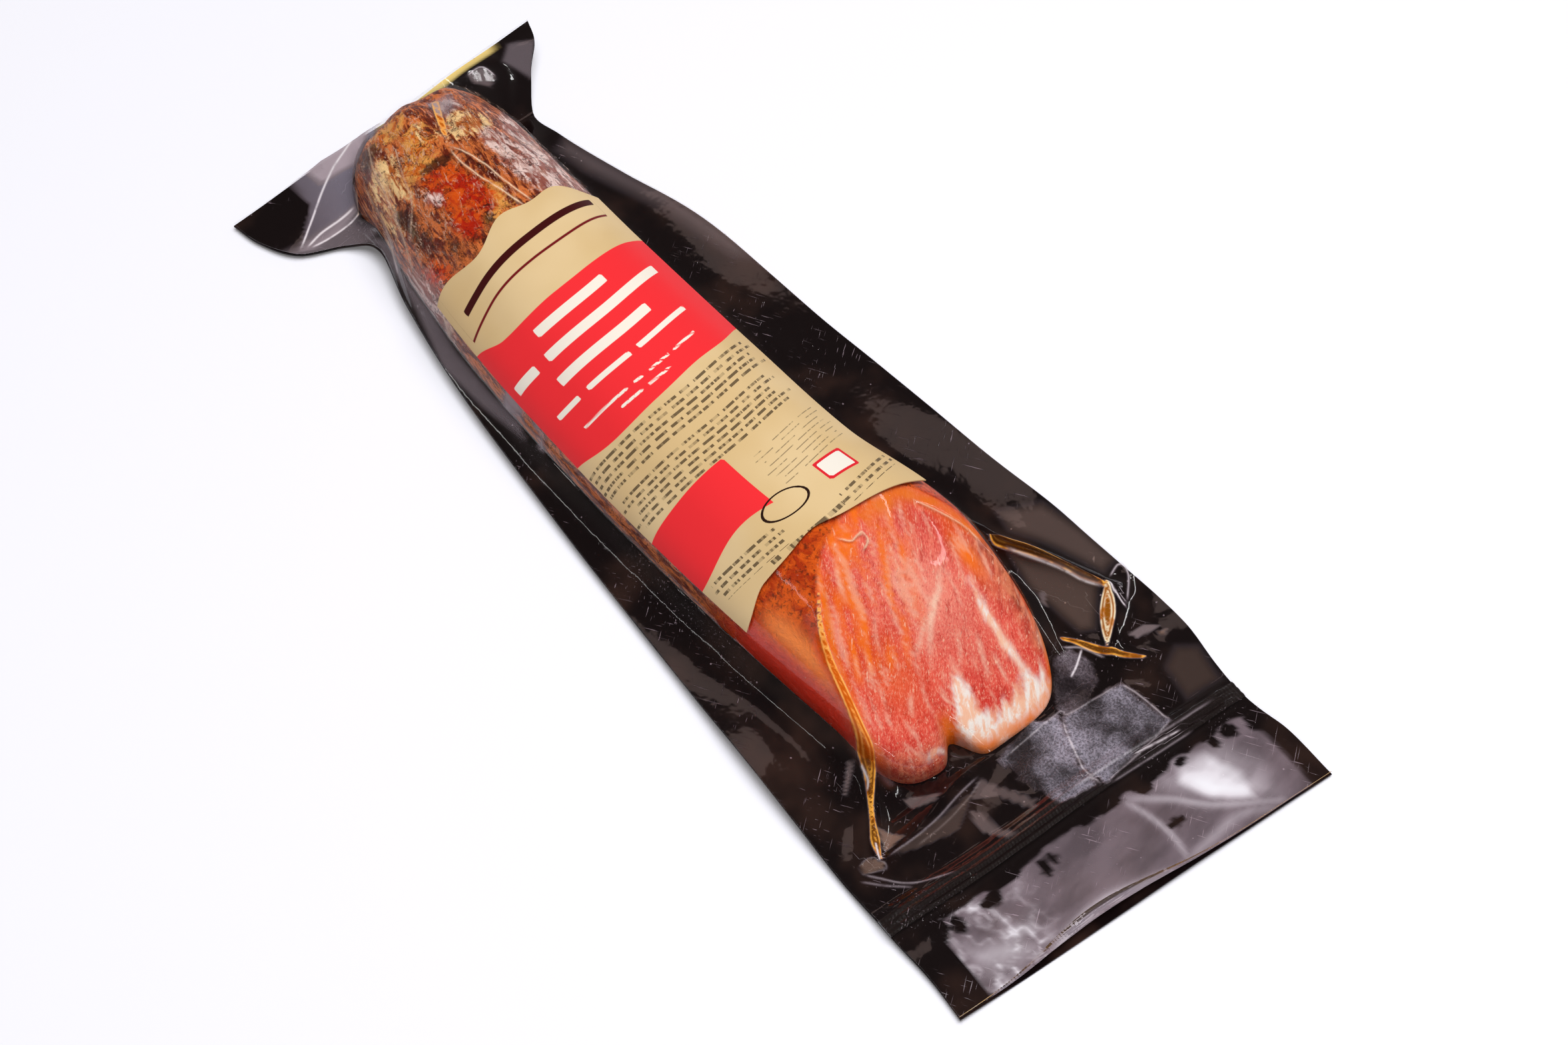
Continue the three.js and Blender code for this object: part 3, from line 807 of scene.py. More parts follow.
def sheen_mask(x, y):
    """The loose flap's painted highlights at its brightest parts, streaked along its creases, and painted
    glints on the crinkles at its left.
    """
    streaks = 0.76 + 0.36 * rumple(x / 4 + y / 6, y / 5 - x / 4, 3.5, 173)
    lights = highest(
        strength * ramp(inside(x, y, outline), -0.3 * soft, soft) for outline, soft, strength in FLAP_LIGHTS
    )
    lines = highest(strength * line_mask(x, y, route, width, 0.3) for route, width, strength in FLAP_LINES)
    crinkle_glints = 0.4 * crumple(x, y, 9, 175) ** 6 + 0.35 * crumple(x, y, 4, 177) ** 4
    crinkle_glints = crinkle_glints * (1 - ramp(y, -42, -22))
    return clamp(highest([lights * streaks, lines, crinkle_glints])) * ramp(x, 146, 150)


def loose_mask(x, y):
    """1 where the film lies on film, less where the two cling beside the loin's lower half, and 0
    where it is drawn down onto the meat."""
    over = front_top(x, y) - clear_under(x, y) - CLEAR_FILM
    clings = bell(beyond_meat(x, y), 0, 11) * ramp(x, -80, -30) * (1 - ramp(x, 104, 118))
    return (1 - ramp(over, 0.5, 4)) * (1 - 0.75 * clings)


def wet_rim(x, y):
    """Oil pooled under the film along both sides of the cut."""
    left = line_mask(x, y, ((50, -34), (64, -38), (76, -40.5), (90, -43), (104, -40.5)), 1.6, 0.4)
    right = line_mask(x, y, ((34, 27), (46, 34), (58, 37), (72, 37), (92, 33)), 1.3, 0.4)
    return clamp(np.maximum(left, right) * (0.8 + 0.35 * rumple(x, y, 5, 91)))


# The flat facet of the stood-up end, to the left of the loin, which carries a painted reflection.
FACET = (
    (-195.3, -75.1), (-208, -61), (-224, -62), (-228, -22), (-212, -26), (-201.8, -45.6), (-196.6, -48),
    (-192.9, -70),
)


def make_clear_film():
    """The clear front on a grid over the whole pouch: its plain form plus its relief, and the same
    face lower by the film's wall. Rows are closest over the cut and the zip, where most goes on."""
    rows = places(
        (SEALED_END, -130, 1.25), (-130, 20, 3.0), (20, 136, 0.9), (136, 155, 0.52), (155, MOUTH, 1.1)
    )
    x, y = pouch_grid(rows)
    x -= set_back(y) * clamp((rows[:, None] - SET_BACK_FROM) / (MOUTH - SET_BACK_FROM))
    top = front_top(x, y) + film_relief(x, y)
    fold_depth, fold_gold = into_folds(x, y)
    glint_side, glint_full = nearest_line(x, y, GLINTS)
    more_side, more_full = nearest_line(x, y, MORE_GLINTS)
    # Patches of painted reflection, and how warm each is.
    dull, warm = reflection_patch_mask(x, y)
    masks = {
        "frost": frost_mask(x, y),
        "veil": veil_mask(x, y),
        "wet_rim": wet_rim(x, y),
        "fold_depth": fold_depth,
        "fold_gold": fold_gold,
        # The facet's painted reflection, brighter as y rises.
        "facet": ramp(inside(x, y, FACET), -0.5, 0.5) * (0.45 + 0.55 * ramp(y, -72, -38)),
        "glint_side": glint_side,
        "glint_full": glint_full,
        "more_side": more_side,
        "more_full": more_full,
        "dull": dull,
        "warm": warm,
        "wrinkled": (1 - ramp(x, -150, -130)) * ramp(x, -205, -198) * (1 - loose_mask(x, y)),
        # Painted highlights on the loose flap.
        "sheen": sheen_mask(x, y),
        "loose": loose_mask(x, y),
        "on_meat": (1 - ramp(np.abs(across(x, y)), 0.98, 1.04)) * (1 - ramp(x - tip_x(y), -1, 1)),
        "gold_edge": np.r_[np.zeros(len(rows) - 2), 1, 1][:, None],
    }
    return closed_sheet("clear_film", grid_points(x, y, top), grid_points(x, y, top - FILM_WALL), masks)


# The black back.
def make_black_back():
    """The black film on a coarser grid: its upper face, and the same face lower by the film's
    thickness but never below the table."""
    rows = places((SEALED_END, -170, 1.8), (-170, 20, 4.0), (20, MOUTH, 1.7))
    x, y = pouch_grid(rows, 20, 40, 28)
    top = back_top(x, y)
    bottom = np.maximum(top - BACK_FILM, 0)
    masks = {
        "bare": (np.arange(len(rows)) >= len(rows) - 3)[:, None] * 1.0,
        "amber": wet_rim(x, y),
        "gold_seal": (1 - ramp(rows, -223, -221))[:, None] * ramp(y, -30, -22) * (1 - ramp(y, 27, 34)),
    }
    return closed_sheet("black_back", grid_points(x, y, top), grid_points(x, y, bottom), masks)


# The loin.
# Pale streaks in the lean: route, width and strength.
LEAN_STREAKS = (
    (((35.3, 16.6), (39, 14.2), (44, 12.7)), 0.5, 0.7),
    (((58.1, 16.3), (65.4, 9.5), (68.8, 4.7), (74.8, -1.5), (83.7, -8.1)), 1.1, 1.0),
    (((69.7, 1.5), (76.5, -7.9), (80.2, -11.9)), 0.9, 0.8),
    (((72.7, 21), (78.7, 19.8), (84.5, 19.8), (92.8, 19.9), (102.2, 20.6)), 1.4, 1.0),
    (((82, 13.1), (88.8, 10.2), (94.2, 7.9), (96.4, 5.7)), 0.8, 0.8),
    (((89.3, 14.5), (94.5, 13.4), (101.4, 12.5)), 0.7, 0.7),
    (((93, -2.8), (98, -4.5), (104.3, -4.7)), 0.9, 0.9),
    (((89.7, -9.3), (94.3, -10), (97.8, -7.7)), 0.7, 0.8),
    (((87, -19), (90, -22), (94, -24)), 0.8, 0.6),
    (((87, -30.5), (90, -31.8), (93.5, -32.5)), 0.7, 0.6),
    (((93, -27), (96, -27.4), (100, -27)), 0.6, 0.6),
    (((73, -26), (77, -28.4), (82, -30)), 0.7, 0.6),
    (((41.5, -16), (48, -19.5), (55.5, -22)), 0.8, 0.7),
    (((69, -29), (72, -30.8), (76, -32)), 0.6, 0.6),
    (((46, 3), (54, -3), (63, -9)), 0.6, 0.4),
    (((52, 9), (60, 3), (68, -3)), 0.5, 0.35),
    (((78, 8), (84, 4), (90, 0)), 0.6, 0.5),
    (((84, -13), (90, -16), (97, -17)), 0.6, 0.5),
    (((60, -14), (67, -19), (74, -22)), 0.7, 0.5),
    (((98, -32), (102, -30), (106, -27)), 0.6, 0.45),
    (((80, -35), (86, -37.5), (92, -38)), 0.6, 0.5),
)

# Outline of the fat at the tip.
FAT_TIP = (
    (100, 20), (107, 25.5), (114, 21), (116, 10.7), (117, -4.7), (112, -10.8), (106.5, -11.6),
    (101, -8), (94, -4), (102, -4), (105.3, 0.6), (106.1, 10.3), (103, 15),
)


def over_cut(x, y):
    """How far the whole loin would stand over the plane of its cut."""
    return body_height(x, y) - cut_height(x, y)


def cut_mask(x, y):
    """1 on the slanting cut and 0 on the casing."""
    return ramp(over_cut(x, y), -2.4, -1.2) * ramp(x, 15, 25)


def into_cut(x, y):
    """Distance in from the rim of the cut: how far its plane lies under the body, over the slope
    of that."""
    lengthwise = over_cut(x + 0.5, y) - over_cut(x - 0.5, y)
    sideways = over_cut(x, y + 0.5) - over_cut(x, y - 0.5)
    return over_cut(x, y) / np.maximum(np.hypot(lengthwise, sideways), 0.3)


def streak_mask(x, y):
    """The pale streaks that show one by one in the lean, among many fine ones."""
    fine = 0.35 * ramp(rumple(x / 7, y + 0.25 * x, 1.6, 101), 0.25, 0.9)
    wobble = 0.8 * clouds(x, y, 5, 103)
    lines = highest(
        line_mask(x, y + wobble * 0.4, route, width, 0.8) * k for route, width, k in LEAN_STREAKS
    )
    return clamp(np.maximum(lines * (0.8 + 0.3 * clouds(x, y, 1.7, 105)), fine))


def fat_mask(x, y):
    """Fat at the tip with a ragged edge, and a thinner seam up from it."""
    ragged = 2.6 * rumple(x / 5 - y / 8, y + x / 2, 2.4, 111)
    tip = ramp(inside(x, y, FAT_TIP) + ragged, -3.8, 1.2)
    seam = line_mask(x, y + 0.4 * ragged, ((66, 21), (73, 20.6), (80, 19.8), (92, 20), (103, 21)), 1.3, 0.4)
    left_lobe = line_mask(x, y, ((107, -18), (105, -23), (106, -28)), 0.9, 0.5)
    return clamp(highest([tip, seam, 0.6 * left_lobe]))


# Outline of the oily upper left of the cut.
STAINED = ((28, 16), (42, 12), (54, 4), (68, -2), (78, -16), (76, -32), (60, -37), (46, -32), (28, -30))


def stain_mask(x, y):
    """Orange paprika oil on the cut, most at its upper left and along both rims."""
    upper = ramp(inside(x, y, STAINED), -7, 4)
    right = bell(x, 60, 9) * bell(y, 26, 3)
    notch = bell(x, 103, 5) * bell(y, -14, 3)
    lower = 0.35 * bell(x, 78, 14) * bell(y, -22, 10)
    left = line_mask(x, y, ((44, -26), (56, -33), (70, -38), (88, -41)), 3.0, 0.5)
    patchy = 0.45 + 0.75 * rumple(x / 6 - y / 8, y + x / 2, 2.6, 121)
    return clamp(highest([upper * patchy, right, notch, lower, 0.9 * left]))


def rim_mask(x, y):
    """The amber rim of the cut, widening down its left side, thin on its right and at the tip."""
    into = into_cut(x, y)
    left = bell(into, 0.4, 1.1 + 1.2 * ramp(x, 55, 95)) * (y < -10) * ramp(x, 40, 55)
    right = bell(into, 0.6, 1.3 + 3.0 * (1 - ramp(x, 50, 62))) * (y > 0) * ramp(x, 26, 34)
    right = right * (1 - 0.75 * ramp(x, 54, 64) * (1 - ramp(x, 98, 104)))
    tip = 0.9 * ramp(x, tip_x(y) - 5.5, tip_x(y) - 1.5) * ramp(y, -20, -12)
    cleft = line_mask(x, y, ((98, -13.5), (103, -15), (107, -15)), 1.3, 0.3)
    return clamp(highest([left, right, tip, cleft]) * (0.85 + 0.3 * clouds(x, y, 4, 131)))


def shade_mask(x, y):
    """Painted shade: the darker edge of the lean along its right side and under its left tip."""
    into = into_cut(x, y)
    right = (1 - ramp(into, 6, 21)) * (y > 0) * ramp(x, 50, 62) * (1 - ramp(x, 92, 102))
    left = 0.6 * ramp(x, tip_x(y) - 9, tip_x(y) - 3) * (y < -16)
    return clamp(np.maximum(right, left) * (0.85 + 0.3 * rumple(x / 4, y, 2, 135)))


# Coloured spots of the casing: x, y, half sizes and strength.
CASING_SPOTS = {
    "rust": (
        (-161, -29, 12, 8, 1), (-152, -24, 11, 7, 0.95), (-145, -34, 9, 6, 0.85), (-139, -50, 9, 6, 0.7),
    ),
    "orange": (
        (-186, -25, 8, 7, 1), (-146, -22, 12, 8, 0.9), (-176, -32, 7, 7, 0.8), (-200, -30, 6, 9, 0.8),
    ),
    "ochre": (
        (-182, -8, 8, 9, 1), (-184, -40, 14, 6, 0.8), (-170, -47, 13, 4, 0.7), (-188, -22, 5, 5, 0.6),
    ),
    "mould": (
        (-163, -3, 15, 6, 1), (-150, 3, 18, 11, 1), (-136, 6, 14, 10, 1), (-144, -56, 16, 6, 1),
        (-132, -60, 16, 6, 0.9), (-194, -9, 5, 6, 1), (-163, -36, 5, 3, 0.7), (-175, 8, 14, 6, 0.8),
    ),
    "dark": (
        (-155, -46, 10, 4, 0.6), (-166, -45, 7, 3, 0.9), (-173, -26, 3, 7, 0.9), (-142, -41, 10, 3, 0.5),
        (-198, -40, 5, 6, 0.8), (-140, -27, 10, 4, 0.6),
    ),
}


def spots(x, y, places):
    """Soft spots with ragged edges, the strongest where they overlap: each is e to the minus square
    of the distance in its half sizes."""
    wander = 2.5 * rumple(x, y, 9, 141)
    return clamp(
        highest(
            k * np.exp(-np.hypot((x - cx + wander) / rx, (y - cy + 0.6 * wander) / ry) ** 2)
            for cx, cy, rx, ry, k in places
        )
    )


def meat_masks(x, y):
    """Everything that colours the loin: the cut's fields, the casing's spots, the deep red lower left side,
    a painted highlight band along the left side and a painted sheen on the cut's middle.
    """
    t = across(x, y)
    return {
        "cut": cut_mask(x, y),
        "streak": streak_mask(x, y),
        "fat": fat_mask(x, y),
        "stain": stain_mask(x, y),
        "rim": rim_mask(x, y),
        "shade": shade_mask(x, y),
        **{name: spots(x, y, places) for name, places in CASING_SPOTS.items()},
        "low_side": ramp(-t, 0.86, 0.97) * ramp(x, 20, 40),
        "fresh": ramp(x, 10, 30),
        # A painted sheen on the middle of the cut.
        "pale": np.exp(-np.hypot((x - 62 - y / 3) / 20, (y - 5) / 15) ** 2),
        # A painted highlight band along the loin's left side.
        "sheen": bell(t, -0.84, 0.08) * ramp(x, 32, 48) * (1 - ramp(x, 86, 98)),
    }


def meat_relief(x, y):
    """Craggy casing at the tied end, calmer towards the cut, and shallow grooves on the cut, all
    sunk below the film."""
    casing = 1 - ramp(x, -140, -120)
    t = across(x, y)
    crags = 0.5 * (rumple(x, y, 9, 151, 4) - 1.1) * casing
    pleats = 0.4 * (np.sin(t * 34 + 2 * clouds(x, y, 20, 153)) - 1) * casing * ramp(-t, 0.2, 0.6)
    side = 0.25 * (rumple(x, y, 5, 155) - 1.2) * (1 - casing) * (1 - cut_mask(x, y))
    grain = 0.12 * (rumple(x / 6, y, 2.2, 157) - 1) * cut_mask(x, y)
    return crags + pleats + side + grain


def make_loin():
    """The half loin inside the film: the body's arches and the slanting cut, both drawn in by an
    inset, and the lower of the two. Its rows bend by degrees to follow the lobes of the tip."""
    rows = places((LOIN_TOP_X + MEAT_INSET, -130, 1.1), (-130, 20, 3.0), (20, LOIN_TIP_X, 0.62))[:, None]
    columns = 120
    turn = (np.arange(columns + 1) / columns - 0.5) * np.pi
    bend = np.sign(turn) * np.abs(np.sin(turn)) ** COLUMN_SPREAD
    share = ramp(rows, 55, LOIN_TIP_X + 25) / ramp(LOIN_TIP_X, 55, LOIN_TIP_X + 25)
    x = rows + np.zeros((1, columns + 1))
    for _ in range(5):
        y = centre(x) + bend * girth(x, MEAT_INSET)
        x = rows + share * (tip_x(y) - MEAT_INSET - LOIN_TIP_X)
    bottom = clear_under(x, y) + MEAT_OFF_FLOOR
    base = bottom + LEAST_MEAT
    end = arch(into_end(x, MEAT_INSET), END_ROUNDNESS)
    body = base + (crown(x) + gathers(x, y) - MEAT_INSET - base) * arch(across(x, y, MEAT_INSET)) * end
    tip = arch(clamp((x - tip_x(y) + MEAT_INSET) / TIP_FALL + 1), 3)
    cut = base + np.maximum(cut_height(x, y) - MEAT_INSET - 0.1 - base, 0) * tip
    top = lower_of(body, cut, RIM_DEPTH)
    fade = clamp((top - base) / 6)
    top = np.maximum(top + meat_relief(x, y) * fade, base)
    return closed_sheet("loin", grid_points(x, y, top), grid_points(x, y, bottom), meat_masks(x, y))


# The label.
def label_top(t):
    """x of the label's upper end at a place across the loin: drawn up by a bell near its middle, and
    waved by a sine."""
    return LABEL_TOP_X - 5.5 * bell(t, 0.2, 0.45) + 2 * np.sin(9 * t)


def label_foot(t):
    """x of its lower end: let down by an S-curve at the left corner, and drawn up by a small bell."""
    return LABEL_FOOT_X + 5 * ramp(-t, 0.7, 1) - 2.2 * bell(t, -0.22, 0.2)


def place_at(angle):
    """Place across the loin for an angle over its crown."""
    return np.sign(np.cos(angle)) * np.abs(np.cos(angle)) ** (2 / ROUNDNESS)


def angle_of(t):
    """The angle over the crown for a place across the loin: place_at turned round."""
    return np.arccos(np.sign(t) * np.abs(t) ** (ROUNDNESS / 2))


def arc_mm(t):
    """Distance round the crown from its middle line, on the section where the label is widest."""
    fine = np.linspace(-1, 1, 2001)
    y = LABEL_HALF * fine
    z = LABEL_LOW + LABEL_RISE * arch(fine)
    length = np.concatenate([[0], np.cumsum(np.hypot(np.diff(y), np.diff(z)))])
    return np.interp(t, fine, length) - np.interp(0, fine, length)


def on_crown(x, angle):
    """Points of the film over the loin, at x and an angle over its crown."""
    y = centre(x) + half_width(x) * place_at(angle)
    return grid_points(x, y, body_height(x, y))


def bow(t):
    """The print's rows bow as they cross the loin: how far a row's x lies before its middle."""
    return 9 * (t + 0.3) ** 2


# The print's fields. Edges and lines are x at places t across the loin. The square has its top and
# foot x and its right t, the panel its corners' y and x, and the oval its x, its t and its half sizes.
BAND_TOP = ((-1, -0.78, -0.26, 0.24, 0.84), (-109, -100.5, -98.8, -100.9, -106))
BAND_FOOT = ((-1, -0.97, -0.7, -0.27, 0.21, 0.55, 0.84), (-57, -49.4, -42.6, -42.2, -45.7, -49.2, -56))
SQUARE = (-9.8, 14.2, -0.24)
PANEL = ((-1.8, 10.8), (10.6, 8.9), (12.9, 18.2), (-0.1, 19.4))
OVAL = (17.0, -0.19, 8.2, 4.6)
STROKE = ((-0.93, -0.61, -0.17, 0.26, 0.73), (-111, -113.6, -114.6, -116, -119.8))
DARK_BAR = ((-0.86, -0.5, 0, 0.4, 0.7), (-119.6, -121.6, -123.4, -125.2, -127.2))

# White bars on the red: a row's middle along the label, half its height, and its bars' ends in t.
WHITE_BARS = (
    (-90.9, 2.0, ((-0.58, 0.18),)),
    (-81.2, 2.0, ((-0.93, -0.74), (-0.64, 0.64))),
    (-71.2, 2.0, ((-0.69, 0.28),)),
    (-62.0, 1.1, ((-0.86, -0.66), (-0.58, -0.14), (-0.06, 0.54))),
    (-52.3, 0.6, ((-0.78, -0.36), (-0.3, -0.2), (-0.14, 0.1), (0.14, 0.42))),
    (-48.2, 0.6, ((-0.5, -0.28), (-0.23, 0.03))),
)


def into_bar(s, v, left, right, middle, half):
    """Distance into a bar from its edges, on the unrolled label."""
    width = (arc_mm(right) - arc_mm(left)) / 2
    return np.minimum(half - np.abs(v - middle), width - np.abs(s - arc_mm(left) - width))


def label_fields(x, t):
    """Distances in millimetres into each printed field, for crisp edges in the shader."""
    s = arc_mm(t)
    band = np.minimum(x - along(*BAND_TOP, t), along(*BAND_FOOT, t) - x)
    top, foot, right = SQUARE
    foot = foot + 1.6 * np.sin((s - arc_mm(right)) / 7.5)
    square = np.minimum(np.minimum(x - top, foot - x), arc_mm(right) - s)
    oval_x, oval_t, long, wide = OVAL
    oval = np.hypot((x - oval_x) / wide, (s - arc_mm(oval_t)) / long)
    y = centre(x) + half_width(x) * t
    white_bars = highest(
        into_bar(s, x + bow(t), left, right, middle, half)
        for middle, half, bars in WHITE_BARS
        for left, right in bars
    )
    return {
        "stroke": np.where(np.abs(t + 0.1) < 0.83, x - along(*STROKE, t), 9),
        "white_bars": white_bars,
        "dark_bar": into_bar(s, x - along(*DARK_BAR, t), DARK_BAR[0][0], DARK_BAR[0][-1], 0, DARK_BAR_HALF),
        "red": np.maximum(band, square),
        "oval": (oval - 1) * wide,
        "panel": inside(y, x, PANEL),
    }


def make_label():
    """The label, laid on the film at even angles over the crown. Both its faces are the film's points
    moved out along the cross product of a step along the loin and a step round it, with a slight
    cockle in the paper."""
    rows, columns = 150, 110
    angle = lerp(angle_of(LABEL_LEFT), angle_of(LABEL_RIGHT), np.linspace(0, 1, columns + 1))[None, :]
    t = place_at(angle)
    x = lerp(label_top(t), label_foot(t), np.linspace(0, 1, rows + 1)[:, None])
    angle = angle + 0 * x
    t = t + 0 * x
    surface = on_crown(x, angle)
    round_way = on_crown(x, angle - 0.02) - on_crown(x, angle + 0.02)
    long_way = on_crown(x + 0.5, angle) - on_crown(x - 0.5, angle)
    out = np.cross(long_way, round_way)
    out /= np.linalg.norm(out, axis=-1, keepdims=True)
    cockle = LABEL_COCKLE * clouds(x, LABEL_HALF * t, 18, 161)[..., None]
    under = surface + out * (2 * GAP + cockle)
    over = under + out * LABEL_PAPER
    return closed_sheet("label_sheet", over, under, label_fields(x, t), (arc_mm(t), x + bow(t)))


# The zip.
def make_zip():
    """The press-shut strip between the films: three ribs across it, with fine cross teeth."""
    rows, columns = 36, 450
    x = ZIP_X + np.linspace(-1, 1, rows + 1)[:, None] * (ZIP_HALF - ZIP_CLEAR)
    y = np.linspace(-ZIP_WIDTH / 2, ZIP_WIDTH / 2, columns + 1)[None, :] + 0 * x
    x = x + ZIP_SKEW * y
    teeth = 0.08 * np.sin(y * 2 * np.pi / ZIP_TOOTH)
    top = back_top(x, y) + over_zip(x, y) - ZIP_CLEAR + teeth
    bottom = back_top(x, y) + 2 * ZIP_CLEAR
    return closed_sheet("zip_ribs", grid_points(x, y, top), grid_points(x, y, bottom))


# Ways to lay out a finish in nodes.
def node(tree, kind, inputs=None, **settings):
    """A node of a kind, with its settings, and its inputs set or joined by name or number."""
    made = tree.nodes.new("ShaderNode" + kind)
    for name, value in settings.items():
        setattr(made, name, value)
    for name, value in (inputs or {}).items():
        if isinstance(value, Field):
            tree.links.new(value.socket, made.inputs[name])
        else:
            made.inputs[name].default_value = value
    return made


class Field:
    """A number, colour or place that varies over a surface. Sums with fields lay out their nodes."""

    def __init__(self, tree, socket):
        self.tree = tree
        self.socket = socket

    def calc(self, operation, other=0.0):
        """A Math node's result for this field and another field or number."""
        return field(self.tree, "Math", 0, {0: self, 1: other}, operation=operation)

    def __add__(self, other):
        return self.calc("ADD", other)

    def __sub__(self, other):
        return self.calc("SUBTRACT", other)

    def __rsub__(self, other):
        return self * -1.0 + other

    def __mul__(self, other):
        return self.calc("MULTIPLY", other)

    def __truediv__(self, other):
        return self.calc("DIVIDE", other)

    def __lt__(self, other):
        return self.calc("LESS_THAN", other)

    def __gt__(self, other):
        return self.calc("GREATER_THAN", other)

    def __abs__(self):
        return self.calc("ABSOLUTE")


def field(tree, kind, output=0, inputs=None, **settings):
    """What a new node puts out."""
    return Field(tree, node(tree, kind, inputs, **settings).outputs[output])


def masks_of(tree, names):
    """The masks that the meshes carry, by their names."""
    return [field(tree, "Attribute", "Fac", attribute_name=name) for name in names.split()]


def larger(first, *others):
    """The greatest of some fields."""
    for other in others:
        first = first.calc("MAXIMUM", other)
    return first


def smaller(first, other):
    """The lesser of two fields."""
    return first.calc("MINIMUM", other)


def stretch(value, low, high, to_low=0.0, to_high=1.0):
    """A value's range made into another, by an S-curve, and held inside it."""
    inputs = {0: value, 1: low, 2: high, 3: to_low, 4: to_high}
    return field(value.tree, "MapRange", 0, inputs, interpolation_type="SMOOTHSTEP")


def place_of(tree, longer=(1, 1, 1), turn=0.0):
    """Object coordinates in millimetres, with patterns made longer along axes turned about Z."""
    coordinates = field(tree, "TexCoord", "Object")
    inputs = {"Vector": coordinates, "Scale": tuple(MM * k for k in longer), "Rotation": (0, 0, turn)}
    return field(tree, "Mapping", 0, inputs, vector_type="TEXTURE")


def noise(where, size_mm, detail=3.0, roughness=0.55, distortion=0.0):
    """Cloudy noise about a half, with clouds of a size in millimetres."""
    inputs = {"Vector": where, "Scale": 1 / size_mm, "Detail": detail}
    inputs |= {"Roughness": roughness, "Distortion": distortion}
    return field(where.tree, "TexNoise", "Fac", inputs)


def hill(value, middle, width):
    """e to the minus square of a value's distance from a middle, in widths."""
    off = (value - middle) / width
    return (off * off * -1.0).calc("EXPONENT")


def veined(pattern, low, high, most=1.0):
    """Thin lines where a pattern passes its middle value."""
    return stretch(abs(pattern - 0.5), low, high, most, 0.0)


def colour(red, green, blue):
    """A linear colour from one as a screen shows it, 0 to 255."""
    shown = np.array([red, green, blue]) / 255
    linear = np.where(shown <= 0.04045, shown / 12.92, ((shown + 0.055) / 1.055) ** 2.4)
    return (*linear.tolist(), 1.0)


def mixed(share, a, b):
    """From one colour to another by a share. Each is a field, or red, green and blue as on a screen."""
    ends = [c if isinstance(c, Field) else colour(*c) for c in (a, b)]
    inputs = {0: share, 6: ends[0], 7: ends[1]}
    return field(share.tree, "Mix", 2, inputs, data_type="RGBA", blend_type="MIX")


def coated(base, *coats):
    """Coats over a base colour, each with the share that it covers and its colour."""
    for share, coat in coats:
        base = mixed(share, base, coat)
    return base


def bumped(height, distance_mm, strength=1.0):
    """The normal of a surface with a height on it, which rises by a distance where the height is 1."""
    inputs = {"Height": height, "Distance": distance_mm * MM, "Strength": strength}
    return field(height.tree, "Bump", "Normal", inputs)


def shader_of(tree, base, roughness, normal, specular=0.5, metallic=0.0):
    """The Principled shader with a finish's values."""
    inputs = {"Base Color": base, "Roughness": roughness, "Normal": normal}
    inputs |= {"Specular IOR Level": specular, "Metallic": metallic}
    return field(tree, "BsdfPrincipled", 0, inputs)


def new_material(name):
    """A material and its empty tree."""
    made = bpy.data.materials.new(name)
    made.use_nodes = True
    made.node_tree.nodes.clear()
    return made, made.node_tree


def finished(material, shader):
    """The material with a shader joined to its output."""
    node(material.node_tree, "OutputMaterial", {"Surface": shader})
    return material


def new_group(name, taken, given):
    """An empty node group, the fields it takes by name, and the sockets of those it gives."""
    tree = bpy.data.node_groups.new(name, "ShaderNodeTree")
    for socket in taken:
        tree.interface.new_socket(socket, in_out="INPUT", socket_type="NodeSocketFloat")
    for socket in given:
        tree.interface.new_socket(socket, in_out="OUTPUT", socket_type="NodeSocketFloat")
    start = tree.nodes.new("NodeGroupInput")
    end = tree.nodes.new("NodeGroupOutput")
    return tree, {socket: Field(tree, start.outputs[socket]) for socket in taken}, end.inputs


# Scratches and dust, which both films and the label share.
def scuffs_group():
    """Hairline scratches in two directions and specks of dust, as a height and a mask."""
    tree, taken, given = new_group("film_scuffs", ("Scratch", "Dust"), ("Height", "Mask"))
    down, up = (
        stretch(noise(place_of(tree, (longer, 1, 1), turn), 0.55, 1.0), 0.69, 0.76)
        for turn, longer in ((0.6, 28), (-0.9, 20))
    )
    patches = stretch(noise(place_of(tree), 21, 2.0), 0.45, 0.62)
    scratch = larger(down, up) * patches * taken["Scratch"]
    dots = field(tree, "TexVoronoi", "Distance", {"Vector": place_of(tree), "Scale": 1 / 7.0})
    dust = stretch(dots, 0.035, 0.06, 1.0, 0.0) * taken["Dust"]
    tree.links.new((dust - scratch).socket, given["Height"])
    tree.links.new(larger(scratch, dust).socket, given["Mask"])
    return tree


SCUFFS = scuffs_group()


def scuffs(tree, scratch=1.0, dust=1.0):
    """The scuffs' height and mask, with as much of the scratches and the dust as is asked for."""
    made = node(tree, "Group", {"Scratch": scratch, "Dust": dust}, node_tree=SCUFFS)
    return [Field(tree, made.outputs[name]) for name in ("Height", "Mask")]


